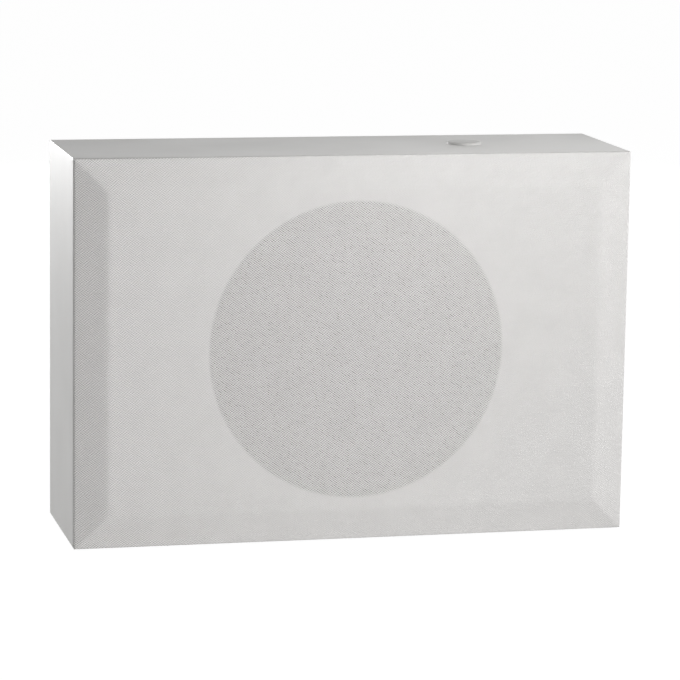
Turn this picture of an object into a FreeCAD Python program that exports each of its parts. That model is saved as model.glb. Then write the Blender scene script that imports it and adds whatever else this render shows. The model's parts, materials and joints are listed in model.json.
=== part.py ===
"""Slim passive subwoofer: a lacquered cabinet with a shallow ten-inch driver behind a bevelled cloth grille.

Millimetres. X runs to the right, Y to the back and Z up, seen by someone who faces the grille. The origin
lies on the floor under the middle of the whole body. Driver depths run back from the baffle's front face.
"""

import FreeCAD
import Part
import math
import os

V = FreeCAD.Vector
TO_BACK = V(0, 1, 0)
UP = V(0, 0, 1)
RIGHT = V(1, 0, 0)
SIDES = {"left": -1, "right": 1}
THROUGH = 1.0  # how far a cutting tool runs past the face it opens
TOLERANCE = 1e-6

# Cabinet boards
cabinet_width = 466.0
cabinet_height = 320.0
cabinet_depth = 130.0
board = 16.0
edge_radius = 1.2
baffle_thickness = 18.0
baffle_recess = 8.0
rear_thickness = 16.0
brace_thickness = 15.0
brace_from_side = 62.0
brace_window = 44.0
brace_window_pitch = 84.0
brace_windows = 3
wadding_air = 2.0
wadding_radius = 14.0

# Feet under the cabinet
foot_diameter = 16.0
foot_height = 2.0
foot_chamfer = 0.4
foot_inset = 24.0

# Cap that closes the hole in the top board
cap_diameter = 28.6
cap_height = 2.4
cap_side = 0.3
cap_edge = 2.2
cap_crown = 0.4
cap_from_right = 125.0
cap_stem_diameter = 19.6
cap_stem_wall = 2.0
cap_stem_beyond = 5.0
cap_snap = 0.5
cap_snap_length = 2.4
cap_slot = 2.4
cap_slot_root = 5.0
cap_hole_clearance = 0.2

# Grille
grille_rise = 10.8
rim_inset = 0.2
rim_gap = 0.5
rim_land = 2.5
bevel_run = 26.8
bevel_soft_radius = 20.0
cloth_thickness = 0.7
cloth_turn_in = 8.0
tongue_clearance = 0.6
opening_diameter = 246.0
opening_land = 2.0
relief_clearance = 4.0
relief_depth = 5.0
magnet_diameter = 10.0
magnet_thickness = 3.0
magnet_inset_x = 26.0
magnet_inset_z = 22.0
magnet_rows = 3
socket_clearance = 0.1

# Driver: moving parts
cone_diameter = 186.0
cone_depth = 31.0
cone_flare = 3.0
cone_paper = 1.2
cone_rim_width = 7.0
neck_length = 3.5
roll_radius = 8.0
rubber = 1.0
surround_lip = 8.6
dust_cap_diameter = 80.0
dust_cap_rise = 12.0
dust_cap_skin = 0.8
coil_diameter = 51.0
former_wall = 0.5
winding_wall = 1.2
winding_length = 20.0
former_tail = 1.0
spider_cloth = 0.8
spider_waves = 4
spider_wave_height = 1.0
spider_inner_flat = 4.5
spider_seat = 7.0
gap_inside = 0.5
gap_outside = 0.5

# Driver: fixed parts
trim_thickness = 2.0
flange_thickness = 4.0
gasket_thickness = 1.0
flange_land = 10.0
basket_wall = 4.0
basket_depth = 50.0
basket_floor = 4.0
basket_floor_bore = 74.0
basket_ring_wall = 3.0
spider_seat_diameter = 140.0
basket_spokes = 6
spoke_angle = 16.0
window_radius = 5.0
spoke_rib = 4.0
spoke_rib_height = 4.0
cutout_clearance = 3.0
cutout_chamfer = 7.0
rebate_clearance = 0.5
top_plate_diameter = 110.0
top_plate_thickness = 8.0
magnet_ring_diameter = 124.0
magnet_ring_bore = 68.0
magnet_ring_thickness = 18.0
yoke_diameter = 116.0
yoke_thickness = 8.0
yoke_chamfer = 3.0
pole_vent = 16.0
pole_rise = 1.0
driver_screws = 8
driver_screw_diameter = 5.0
driver_screw_grip = 9.0
driver_head_diameter = 9.0
driver_head_height = 3.0
driver_key = 4.0
driver_key_depth = 2.0
screw_hole_clearance = 0.1

# Driver lugs and wiring
lug_pad_proud = 2.6
lug_board_width = 32.0
lug_board_length = 10.0
lug_board_thickness = 2.0
tab_width = 6.3
tab_thickness = 0.8
tab_forward = 2.0
tab_back = 9.0
sleeve_width = 8.0
sleeve_height = 3.0
sleeve_length = 14.0
sleeve_clearance = 0.05
tinsel_diameter = 1.4
tinsel_straight = 2.0
tinsel_turn = 60.0
tinsel_last_run = 3.5
tinsel_clearance = 0.3
wire_diameter = 2.6
wire_bend = 12.0
barrel_diameter = 3.8
barrel_length = 6.0
barrel_rise = 5.0
eyelet_diameter = 8.0
eyelet_thickness = 0.8

# Terminal cup in the rear panel
terminal_height = 52.0
cup_flange_width = 90.0
cup_flange_height = 64.0
cup_flange_thickness = 2.5
cup_flange_radius = 8.0
cup_recess_width = 70.0
cup_recess_height = 44.0
cup_recess_depth = 27.0
cup_recess_radius = 7.0
cup_wall = 2.5
cup_clearance = 0.5
cup_gasket = 1.0
cup_screw_inset = 4.8
cup_screw_diameter = 2.9
cup_screw_length = 13.0
cup_screw_head = 5.6
cup_screw_head_height = 1.6

# Binding posts
post_spacing = 19.0
post_diameter = 6.0
post_length = 21.0
post_collar_diameter = 9.0
post_collar = 2.0
post_bore = 4.1
post_bore_depth = 15.0
post_tail_diameter = 4.0
post_tail_length = 8.0
post_hole_clearance = 0.1
thumb_nut_diameter = 11.6
thumb_nut_clearance = 0.06
thumb_nut_gap = 0.3
thumb_nut_flutes = 12
thumb_nut_flute = 1.8
thumb_nut_chamfer = 0.8
lock_nut_width = 7.0
lock_nut_height = 3.2
thread_clearance = 0.05

# Keyhole hangers, moulded sockets set through the rear panel
hanger_from_side = 48.0
hanger_below_top = 62.0
hanger_width = 34.0
hanger_height = 70.0
hanger_thickness = 2.0
hanger_radius = 9.0
hanger_clearance = 0.2
keyhole_diameter = 10.0
keyhole_slot = 5.0
keyhole_travel = 14.0
keyhole_drop = 7.0
pocket_width = 21.0
pocket_height = 39.0
pocket_depth = 11.4
pocket_radius = 3.0
pocket_wall = 1.6
hanger_screw_inset = 6.0
hanger_screw_diameter = 3.0
hanger_screw_length = 11.0
hanger_screw_head = 5.6
hanger_screw_head_height = 1.5

# Planes of the cabinet
front_edge = (grille_rise - cabinet_depth) / 2
rear_face = front_edge + cabinet_depth
rear_inner = rear_face - rear_thickness
baffle_front = front_edge + baffle_recess
baffle_back = baffle_front + baffle_thickness
under = foot_height
top = under + cabinet_height
middle = under + cabinet_height / 2
floor_in = under + board
ceiling_in = top - board
half_width = cabinet_width / 2
half_in = half_width - board
brace_place = half_in - brace_from_side - brace_thickness / 2
cap_place = V(half_width - cap_from_right, front_edge + cabinet_depth / 2, top)
cap_hole_radius = cap_stem_diameter / 2 + cap_hole_clearance

# Planes and outlines of the grille
rim_back = front_edge - rim_gap - cloth_thickness
frame_front = front_edge - grille_rise + cloth_thickness
rim_half_x = half_width - rim_inset - cloth_thickness
rim_half_z = cabinet_height / 2 - rim_inset - cloth_thickness
rim_front = rim_back - rim_land
socket_radius = magnet_diameter / 2 + socket_clearance

# Radii and depths of the driver
cone_radius = cone_diameter / 2
roll_middle = cone_radius + roll_radius
flange_bore = roll_middle + roll_radius
lip_radius = flange_bore + surround_lip
flange_radius = lip_radius + flange_land
screw_circle = lip_radius + flange_land / 2
relief_radius = flange_radius + relief_clearance
body_radius = flange_bore + basket_wall
cutout_radius = body_radius + cutout_clearance
seat_radius = spider_seat_diameter / 2
ring_radius = seat_radius + basket_ring_wall
seat_bore = seat_radius - spider_seat
former_radius = coil_diameter / 2
winding_radius = former_radius + winding_wall
flange_front = trim_thickness
flange_back = flange_front + flange_thickness
rebate_depth = flange_back + gasket_thickness
basket_back = flange_front + basket_depth
plate_back = basket_back + top_plate_thickness
magnet_back = plate_back + magnet_ring_thickness
yoke_back = magnet_back + yoke_thickness
neck_front = flange_front + cone_depth
neck_back = neck_front + neck_length
spider_front = neck_back + cone_paper
spider_back = spider_front + spider_cloth
winding_front = basket_back + top_plate_thickness / 2 - winding_length / 2
former_back = winding_front + winding_length + former_tail
lug_level = ring_radius + lug_pad_proud
lug_front = basket_back - basket_floor / 2 - lug_board_length
tab_level = lug_level + lug_board_thickness + tab_thickness / 2
tab_end = lug_front + lug_board_length + tab_back

# Planes of the terminals
terminal_middle = under + terminal_height
cup_floor_out = rear_face - cup_recess_depth
cup_floor_in = cup_floor_out - cup_wall
cup_rebate = cup_flange_thickness + cup_gasket
post_end = cup_floor_out + post_length
eyelet_front = cup_floor_in - eyelet_thickness
barrel_axis = cup_floor_in - barrel_diameter / 2
cup_screw_x = cup_flange_width / 2 - cup_screw_inset
cup_screw_z = cup_flange_height / 2 - cup_screw_inset

# Planes of the hangers
hanger_place = half_width - hanger_from_side
hanger_middle = top - hanger_below_top
keyhole_middle = hanger_middle - keyhole_drop


def block(x, y, z):
    """Box between the pairs of limits x, y and z."""
    return Part.makeBox(x[1] - x[0], y[1] - y[0], z[1] - z[0], V(x[0], y[0], z[0]))


def rod(radius, start, length, axis=TO_BACK):
    """Solid cylinder that starts at a point and runs along an axis."""
    return Part.makeCylinder(radius, length, start, axis)


def joined(shapes):
    """One solid from shapes that overlap or share faces."""
    whole = shapes[0].fuse(shapes[1:]) if len(shapes) > 1 else shapes[0]
    return whole.removeSplitter()


def group(shapes):
    """Separate solids kept together as one piece of the list."""
    return Part.makeCompound(shapes)


def outline(start, *steps):
    """Closed face in the XY plane. A step is a point for a line, or a mid and an end point for an arc."""
    edges = []
    here = V(*start)
    for step in steps + (start,):
        if isinstance(step[0], tuple):
            end = V(*step[1])
            edges.append(Part.Arc(here, V(*step[0]), end).toShape())
        else:
            end = V(*step)
            edges.append(Part.makeLine(here, end))
        here = end
    return Part.Face(Part.Wire(edges))


def turned(start, *steps):
    """Solid of revolution about the Y axis from a profile of (radius, depth) points."""
    return outline(start, *steps).revolve(V(), TO_BACK, 360)


def placed_in_driver(shape):
    """Shape moved from the driver's own axis to the middle of the baffle's front face."""
    return shape.translated(V(0, baffle_front, middle))


def around(count, first_angle=0.0):
    """Angles in degrees of evenly spaced features."""
    return [first_angle + 360.0 * i / count for i in range(count)]


def polar(radius, angle, depth=0.0):
    """Point at a radius and an angle about the Y axis."""
    return V(radius * math.cos(math.radians(angle)), depth, radius * math.sin(math.radians(angle)))


def edges_along(shape, axis):
    """Straight edges of a shape that run along an axis."""
    straight = [e for e in shape.Edges if isinstance(e.Curve, Part.Line)]
    return [e for e in straight if abs(e.tangentAt(e.FirstParameter).dot(axis)) > 1 - TOLERANCE]


def rounded_plate(width, height, y, radius, centre):
    """Upright plate with rounded corners, between two Y limits, centred on (x, z)."""
    x = (centre[0] - width / 2, centre[0] + width / 2)
    z = (centre[1] - height / 2, centre[1] + height / 2)
    plate = block(x, y, z)
    return plate.makeFillet(radius, edges_along(plate, TO_BACK))


def dome_point(base_radius, rise, share):
    """Radius and drop below the apex of a point on a spherical dome, at a share of the angle to its base."""
    sphere = (base_radius ** 2 + rise ** 2) / (2 * rise)
    angle = share * math.asin(base_radius / sphere)
    return sphere * math.sin(angle), sphere * (1 - math.cos(angle))


def hexagon(width, start, length):
    """Hexagonal prism along Y, given its width across flats."""
    radius = width / math.sqrt(3)
    corners = [start + polar(radius, angle) for angle in around(6)]
    return Part.Face(Part.makePolygon(corners + corners[:1])).extrude(TO_BACK * length)


# Cabinet


def carcass():
    """Outer box with softened edges, open from front to back."""
    body = block((-half_width, half_width), (front_edge, rear_face), (under, top))
    body = body.makeFillet(edge_radius, body.Edges)
    past = (front_edge - THROUGH, rear_face + THROUGH)
    return body.cut(block((-half_in, half_in), past, (floor_in, ceiling_in)))


def mitred_board(corners):
    """One board of the carcass, cut from it along its mitres. Corners are (x, z) points."""
    points = [V(x, front_edge, z) for x, z in corners]
    wedge = Part.Face(Part.makePolygon(points + points[:1])).extrude(TO_BACK * cabinet_depth)
    return carcass().common(wedge)


def top_panel():
    """Top board with the hole for the cap."""
    corners = [(-half_width, top), (half_width, top), (half_in, ceiling_in), (-half_in, ceiling_in)]
    hole = rod(cap_hole_radius, cap_place + UP * THROUGH, board + 2 * THROUGH, -UP)
    return mitred_board(corners).cut(hole)


def bottom_panel():
    """Bottom board."""
    corners = [(-half_width, under), (half_width, under), (half_in, floor_in), (-half_in, floor_in)]
    return mitred_board(corners)


def side_panel(side):
    """Left or right board."""
    x, x_in = side * half_width, side * half_in
    return mitred_board([(x, under), (x, top), (x_in, ceiling_in), (x_in, floor_in)])


def magnet_places():
    """Middles of the grille magnets, as (x, z), in a column at each end of the baffle."""
    reach = cabinet_height / 2 - board - magnet_inset_z
    step = 2 * reach / (magnet_rows - 1)
    return [(side * (half_in - magnet_inset_x), middle - reach + i * step)
            for side in SIDES.values() for i in range(magnet_rows)]


def driver_screw_places(depth):
    """Middles of the driver screws at a depth, about the driver's own axis."""
    return [polar(screw_circle, angle, depth) for angle in around(driver_screws, 180.0 / driver_screws)]


def front_baffle():
    """Baffle with the driver's cut-out, its rebate, the screw pilots and the catch sockets."""
    board_in = block((-half_in, half_in), (baffle_front, baffle_back), (floor_in, ceiling_in))
    chamfer = Part.makeCone(cutout_radius, cutout_radius + cutout_chamfer, cutout_chamfer,
                            V(0, baffle_thickness - cutout_chamfer, 0), TO_BACK)
    pilot_radius = driver_screw_diameter / 2 + screw_hole_clearance
    cuts = [rod(cutout_radius, V(0, -THROUGH, 0), baffle_thickness + 2 * THROUGH),
            rod(flange_radius + rebate_clearance, V(0, -THROUGH, 0), rebate_depth + THROUGH),
            chamfer]
    cuts += [rod(pilot_radius, place, rebate_depth + driver_screw_grip) for place in driver_screw_places(0)]
    sockets = [rod(socket_radius, V(x, baffle_front - THROUGH, z), magnet_thickness + THROUGH)
               for x, z in magnet_places()]
    return board_in.cut([placed_in_driver(cut) for cut in cuts] + sockets)


def rear_panel():
    """Rear panel with the cut-outs of the terminal cup and the hangers, their rebates and screw pilots."""
    panel = block((-half_in, half_in), (rear_inner, rear_face), (floor_in, ceiling_in))
    past = rear_face + THROUGH
    centre = (0, terminal_middle)
    grow = 2 * cup_clearance
    cuts = [rounded_plate(cup_recess_width + 2 * cup_wall + grow, cup_recess_height + 2 * cup_wall + grow,
                          (rear_inner - THROUGH, past), cup_recess_radius + cup_wall, centre),
            rounded_plate(cup_flange_width + grow, cup_flange_height + grow,
                          (rear_face - cup_rebate, past), cup_flange_radius, centre)]
    cuts += cup_screw_holes()
    for side in SIDES.values():
        cuts += hanger_cuts(side * hanger_place)
    return panel.cut(cuts)


def hanger_cuts(x):
    """Window, rebate and screw pilots for one hanger."""
    past = rear_face + THROUGH
    grow = 2 * hanger_clearance
    centre = (x, hanger_middle)
    pilot = hanger_screw_diameter / 2 + screw_hole_clearance
    return [rounded_plate(hanger_width + grow, hanger_height + grow, (rear_face - hanger_thickness, past),
                          hanger_radius, centre),
            rounded_plate(pocket_width + 2 * pocket_wall + grow, pocket_height + 2 * pocket_wall + grow,
                          (rear_inner - THROUGH, past), pocket_radius + pocket_wall, centre)
            ] + [rod(pilot, V(x, rear_face, z), hanger_screw_length, -TO_BACK) for z in hanger_screw_levels()]


def brace(side):
    """Upright board between baffle and rear panel, with round windows for the air."""
    x = (side * brace_place - brace_thickness / 2, side * brace_place + brace_thickness / 2)
    upright = block(x, (baffle_back, rear_inner), (floor_in, ceiling_in))
    depth = (baffle_back + rear_inner) / 2
    first = middle - brace_window_pitch * (brace_windows - 1) / 2
    windows = [rod(brace_window / 2, V(x[0] - THROUGH, depth, first + i * brace_window_pitch),
                   brace_thickness + 2 * THROUGH, RIGHT) for i in range(brace_windows)]
    return upright.cut(windows)


def wadding(side):
    """Pad of polyester wool in the space between a brace and the side board it is glued to."""
    near = side * (brace_place + brace_thickness / 2 + wadding_air)
    x = tuple(sorted((near, side * half_in)))
    pad = block(x, (baffle_back + wadding_air, rear_inner - wadding_air),
                (floor_in + wadding_air, ceiling_in - wadding_air))
    return pad.makeFillet(wadding_radius, pad.Edges)


def top_cap():
    """Low domed cap on a split hollow stem that snaps into the top board."""
    radius, stem = cap_diameter / 2, cap_stem_diameter / 2
    shoulder = cap_height - cap_crown
    crown_radius = radius - cap_edge
    corner = (radius - cap_edge * (1 - math.sqrt(0.5)), cap_side + (shoulder - cap_side) * math.sqrt(0.5))
    end = -board - cap_stem_beyond
    bore = stem - cap_stem_wall
    crown = dome_point(crown_radius, cap_crown, 0.5)
    body = turned((0, cap_height), ((crown[0], cap_height - crown[1]), (crown_radius, shoulder)),
                  (corner, (radius, cap_side)), (radius, 0), (stem, 0), (stem, -board),
                  (stem + cap_snap, -board - cap_snap), (stem, -board - cap_snap_length),
                  (stem, end), (bore, end), (bore, 0), (0, 0))
    slot = block((-radius, radius), (end - THROUGH, -cap_slot_root), (-cap_slot / 2, cap_slot / 2))
    cross_slot = slot.copy()
    cross_slot.rotate(V(), TO_BACK, 90)
    body = body.cut([slot, cross_slot])
    body.rotate(V(), RIGHT, 90)
    return body.translated(cap_place)


def foot(side, front):
    """Thin round pad under one corner of the cabinet."""
    y = front_edge + foot_inset if front else rear_face - foot_inset
    place = V(side * (half_width - foot_inset), y, 0)
    radius = foot_diameter / 2
    pad = turned((0, 0), (radius - foot_chamfer, 0), (radius, foot_chamfer), (radius, foot_height),
                 (0, foot_height))
    pad.rotate(V(), RIGHT, 90)
    return pad.translated(place)


# Grille


def bevelled_pan(half_x, half_z, back, land_front, front, run, soft_radius):
    """Slab with a straight rim and a bevel on all four sides, softly rounded where it meets the front."""
    rim = block((-half_x, half_x), (land_front, back), (middle - half_z, middle + half_z))
    bevel = Part.makeWedge(-half_x + run, front, -half_z + run, -half_z, -half_x,
                           half_x - run, land_front, half_z - run, half_z, half_x)
    pan = joined([rim, bevel.translated(UP * middle)])
    breaks = [e for e in pan.Edges if max(abs(v.Point.y - front) for v in e.Vertexes) < TOLERANCE]
    return pan.makeFillet(soft_radius, breaks)


def grille_core():
    """The grille frame's bevelled block, before its tongue and openings."""
    return bevelled_pan(rim_half_x, rim_half_z, rim_back, rim_front, frame_front,
                        bevel_run, bevel_soft_radius)


def grille_frame():
    """Bevelled frame whose tongue drops into the cabinet, with a round opening that flares to the back."""
    reach_x = half_in - tongue_clearance
    reach_z = cabinet_height / 2 - board - tongue_clearance
    tongue = block((-reach_x, reach_x), (rim_back, baffle_front), (middle - reach_z, middle + reach_z))
    start = V(0, baffle_front + THROUGH, middle)
    opening = rod(opening_diameter / 2, start, baffle_front - frame_front + 2 * THROUGH, -TO_BACK)
    relief = rod(relief_radius, start, relief_depth + THROUGH, -TO_BACK)
    flare_front = frame_front + opening_land
    flare = Part.makeCone(opening_diameter / 2, relief_radius, baffle_front - relief_depth - flare_front,
                          V(0, flare_front, middle), TO_BACK)
    sockets = [rod(socket_radius, V(x, baffle_front + THROUGH, z), magnet_thickness + THROUGH, -TO_BACK)
               for x, z in magnet_places()]
    return joined([grille_core(), tongue]).cut([opening, flare, relief] + sockets)


def grille_cloth():
    """Cloth stretched over the frame's front and bevels, round the rim and in behind it."""
    cloth = cloth_thickness
    slope = math.atan2(rim_front - frame_front, bevel_run)
    land = rim_front - cloth * math.cos(slope) / (1 + math.sin(slope))
    run = bevel_run + cloth - cloth * math.tan(slope / 2)
    skin = bevelled_pan(rim_half_x + cloth, rim_half_z + cloth, rim_back + cloth, land, frame_front - cloth,
                        run, bevel_soft_radius + cloth)
    inner_x, inner_z = rim_half_x - cloth_turn_in, rim_half_z - cloth_turn_in
    back_open = block((-inner_x, inner_x), (rim_back - THROUGH, rim_back + cloth + THROUGH),
                      (middle - inner_z, middle + inner_z))
    return skin.cut([grille_core(), back_open])


def grille_magnets():
    """Disc magnets in the back of the frame."""
    return group([rod(magnet_diameter / 2, V(x, baffle_front, z), magnet_thickness, -TO_BACK)
                  for x, z in magnet_places()])


def catch_discs():
    """Steel discs in the baffle that the grille's magnets hold."""
    return group([rod(magnet_diameter / 2, V(x, baffle_front, z), magnet_thickness)
                  for x, z in magnet_places()])


# Driver


def flared(start, end):
    """Three (radius, depth) points of a cone line whose middle is pulled forward by the flare."""
    return start, ((start[0] + end[0]) / 2, (start[1] + end[1]) / 2 - cone_flare), end


def arc_depth(start, mid, end, radius):
    """Depth of a circular arc through three (radius, depth) points at a given radius."""
    circle = Part.Arc(V(*start), V(*mid), V(*end)).toShape().Curve
    centre, size = circle.Center, circle.Radius
    side = 1 if mid[1] > centre.y else -1
    return centre.y + side * math.sqrt(size ** 2 - (radius - centre.x) ** 2)


def cone_front_arc():
    """Three points on the front line of the cone, from its rim to its neck."""
    return flared((cone_radius - cone_rim_width, flange_front), (former_radius, neck_front))


def cone_back_arc():
    """Three points on the back line of the cone, from its neck to its rim."""
    rim = cone_radius - cone_rim_width + cone_paper / 2
    return flared((former_radius + cone_paper, neck_front + cone_paper), (rim, flange_front + cone_paper))


def cone():
    """Flared paper cone with a flat rim for the surround and a short neck on the former."""
    front, front_mid, front_end = cone_front_arc()
    back, back_mid, back_end = cone_back_arc()
    return placed_in_driver(turned(front, (front_mid, front_end), (former_radius, neck_back),
                                   (former_radius + cone_paper, neck_back), back, (back_mid, back_end),
                                   (cone_radius, flange_front + cone_paper), (cone_radius, flange_front)))


def dust_cap():
    """Shallow spherical dome glued to the cone over the coil."""
    radius = dust_cap_diameter / 2
    seat = arc_depth(*cone_front_arc(), radius)
    apex = seat - dust_cap_rise
    inner_radius = radius - dust_cap_skin
    inner_rise = dust_cap_rise - dust_cap_skin
    outer_mid = dome_point(radius, dust_cap_rise, 0.5)
    inner_mid = dome_point(inner_radius, inner_rise, 0.5)
    inner_apex = apex + dust_cap_skin
    return placed_in_driver(turned((radius, seat), ((outer_mid[0], apex + outer_mid[1]), (0, apex)),
                                   (0, inner_apex),
                                   ((inner_mid[0], inner_apex + inner_mid[1]), (inner_radius, seat))))


def surround():
    """Half-roll rubber edge between the cone's rim and the basket's flange."""
    glued, free = flange_front, flange_front - rubber
    inner, outer = roll_radius - rubber / 2, roll_radius + rubber / 2
    rim = cone_radius - cone_rim_width
    return placed_in_driver(turned((lip_radius, glued), (roll_middle + inner, glued),
                                   ((roll_middle, glued - inner), (roll_middle - inner, glued)),
                                   (rim, glued), (rim, free),
                                   (roll_middle - outer, free),
                                   ((roll_middle, glued - outer), (roll_middle + outer, free)),
                                   (lip_radius, free)))


def spider_line(depth, height):
    """Start and steps of the corrugated line from the inner flat to the seat, in half waves about a depth."""
    start = former_radius + spider_inner_flat
    half = (seat_bore - start) / (2 * spider_waves)
    steps = []
    for i in range(2 * spider_waves):
        here = start + i * half
        swing = height if i % 2 else -height
        steps.append(((here + half / 2, depth + swing), (here + half, depth)))
    return (start, depth), steps


def spider():
    """Corrugated cloth that centres the coil."""
    edge = seat_radius - spider_cloth
    front, front_steps = spider_line(spider_front, spider_wave_height)
    back, back_steps = spider_line(spider_back, spider_wave_height)
    ends = [back] + [step[1] for step in back_steps]
    returning = [(back_steps[i][0], ends[i]) for i in reversed(range(len(back_steps)))]
    return placed_in_driver(turned((former_radius, spider_front), front, *front_steps, (edge, spider_front),
                                   (edge, spider_back), ends[-1], *returning, (former_radius, spider_back)))


def tube(inner, outer, front, back):
    """Plain ring about the driver's axis."""
    return placed_in_driver(turned((inner, front), (outer, front), (outer, back), (inner, back)))


def coil_former():
    """Tube that carries the winding."""
    return tube(former_radius - former_wall, former_radius, neck_front, former_back)


def coil_winding():
    """Copper winding on the former."""
    return tube(former_radius, winding_radius, winding_front, winding_front + winding_length)


def with_screw_holes(shape, depth, length):
    """Shape with the driver's ring of screw holes drilled through it."""
    radius = driver_screw_diameter / 2 + screw_hole_clearance
    return shape.cut([placed_in_driver(rod(radius, place, length + 2 * THROUGH))
                      for place in driver_screw_places(depth - THROUGH)])


def driver_trim_ring():
    """Ring that covers the flange and clamps the surround's lip."""
    ring = turned((flange_bore + rubber, 0), (flange_radius, 0), (flange_radius, flange_front),
                  (lip_radius, flange_front), (lip_radius, flange_front - rubber),
                  (flange_bore + rubber, flange_front - rubber))
    return with_screw_holes(placed_in_driver(ring), 0, flange_front)


def driver_gasket():
    """Foam ring under the flange."""
    return with_screw_holes(tube(cutout_radius, flange_radius, flange_back, rebate_depth), flange_back,
                            gasket_thickness)


def basket_window(angle):
    """Cutter for one opening between two spokes, with rounded corners."""
    sweep = 360.0 / basket_spokes - spoke_angle
    near, far = seat_radius - basket_wall, cutout_radius + THROUGH
    front, back = flange_back + basket_wall, spider_back - THROUGH
    cutter = outline((near, front), (far, front), (far, back), (near, back)).revolve(V(), TO_BACK, sweep)
    radial = [e for e in cutter.Edges if isinstance(e.Curve, Part.Line) and e.BoundBox.YLength < TOLERANCE]
    cutter = cutter.makeFillet(window_radius, radial)
    cutter.rotate(V(), TO_BACK, angle - sweep / 2)
    return cutter


def spoke_rib_plate(angle):
    """Stiffening rib down the back of one spoke."""
    knee = flange_back + spoke_rib_height
    foot_depth = spider_back + spoke_rib_height
    in_wall = (flange_bore + basket_wall / 2, flange_back)
    in_ring = (seat_radius + (ring_radius - seat_radius) / 2, spider_back)
    profile = outline(in_wall, (body_radius, flange_back), (body_radius, knee),
                      (ring_radius + spoke_rib_height, foot_depth), (in_ring[0], foot_depth), in_ring)
    plate = profile.extrude(UP * spoke_rib).translated(UP * (-spoke_rib / 2))
    plate.rotate(V(), TO_BACK, angle)
    return plate


def driver_basket():
    """Cast basket: flange, six ribbed spokes, a seat for the spider and a floor for the motor."""
    floor_bore = basket_floor_bore / 2
    shell = turned((flange_radius, flange_front), (flange_radius, flange_back), (body_radius, flange_back),
                   (body_radius, flange_back + basket_wall / 2), (ring_radius, spider_back + basket_wall / 2),
                   (ring_radius, basket_back), (floor_bore, basket_back),
                   (floor_bore, basket_back - basket_floor), (seat_bore, basket_back - basket_floor),
                   (seat_bore, spider_back), (seat_radius, spider_back),
                   (flange_bore, flange_back), (flange_bore, flange_front))
    shell = shell.cut([basket_window(angle) for angle in around(basket_spokes, 180.0 / basket_spokes)])
    ribs = [spoke_rib_plate(angle) for angle in around(basket_spokes)]
    pad = block((-lug_board_width / 2, lug_board_width / 2), (lug_front, lug_front + lug_board_length),
                (-lug_level, -ring_radius + basket_wall))
    return with_screw_holes(placed_in_driver(joined([shell, pad] + ribs)), flange_front, flange_thickness)


def top_plate():
    """Steel ring around the coil gap."""
    return tube(winding_radius + gap_outside, top_plate_diameter / 2, basket_back, plate_back)


def magnet_ring():
    """Ferrite ring magnet."""
    return tube(magnet_ring_bore / 2, magnet_ring_diameter / 2, plate_back, magnet_back)


def yoke():
    """Back plate and vented pole in one piece."""
    pole = former_radius - former_wall - gap_inside
    rim, vent = yoke_diameter / 2, pole_vent / 2
    return placed_in_driver(turned((vent, basket_back - pole_rise), (pole, basket_back - pole_rise),
                                   (pole, magnet_back), (rim, magnet_back), (rim, yoke_back - yoke_chamfer),
                                   (rim - yoke_chamfer, yoke_back), (vent, yoke_back)))


def driver_screw_set():
    """Pan-head screws with hexagon sockets, through trim ring, flange and gasket into the baffle."""
    screws = []
    for place in driver_screw_places(0):
        shank = rod(driver_screw_diameter / 2, place, rebate_depth + driver_screw_grip - THROUGH)
        head = rod(driver_head_diameter / 2, place, driver_head_height, -TO_BACK)
        head = head.makeFillet(driver_head_height / 3, [e for e in head.Edges if e.BoundBox.YMax < -THROUGH])
        key = hexagon(driver_key, place - TO_BACK * driver_head_height, driver_key_depth)
        screws.append(placed_in_driver(joined([shank, head]).cut(key)))
    return group(screws)


# Driver lugs and wiring


def post_x(side):
    """Distance of a post, its tab and its lead from the middle of the cabinet."""
    return side * post_spacing / 2


def lug_board():
    """Insulating board on the basket's pad."""
    return placed_in_driver(block((-lug_board_width / 2, lug_board_width / 2),
                                  (lug_front, lug_front + lug_board_length),
                                  (-lug_level - lug_board_thickness, -lug_level)))


def lug_tabs():
    """Flat brass tabs under the board, one for each lead."""
    high = -lug_level - lug_board_thickness
    return group([placed_in_driver(block((post_x(side) - tab_width / 2, post_x(side) + tab_width / 2),
                                         (lug_front - tab_forward, tab_end), (high - tab_thickness, high)))
                  for side in SIDES.values()])


def lead_sleeves():
    """Push-on sleeves over the tabs' back ends."""
    sleeves = []
    front = lug_front + lug_board_length + THROUGH
    for side in SIDES.values():
        x = post_x(side)
        body = block((x - sleeve_width / 2, x + sleeve_width / 2), (front, front + sleeve_length),
                     (-tab_level - sleeve_height / 2, -tab_level + sleeve_height / 2))
        slot_half_width = tab_width / 2 + sleeve_clearance
        slot_half_height = tab_thickness / 2 + sleeve_clearance
        slot = block((x - slot_half_width, x + slot_half_width),
                     (front - THROUGH, tab_end + sleeve_clearance),
                     (-tab_level - slot_half_height, -tab_level + slot_half_height))
        sleeves.append(placed_in_driver(body.cut(slot)))
    return group(sleeves)


def piped(edges, diameter):
    """Round wire along straight and arc edges in a plane of constant X."""
    path = Part.Wire(edges)
    start = edges[0].Vertexes[0].Point
    section = Part.Wire(Part.makeCircle(diameter / 2, start, edges[0].tangentAt(edges[0].FirstParameter)))
    return path.makePipeShell([section], True, False)


def bend_reach(bend, turn):
    """How far a bend of a given radius reaches forward and rises after a turn in degrees."""
    return bend * math.sin(math.radians(turn)), bend * (1 - math.cos(math.radians(turn)))


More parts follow.
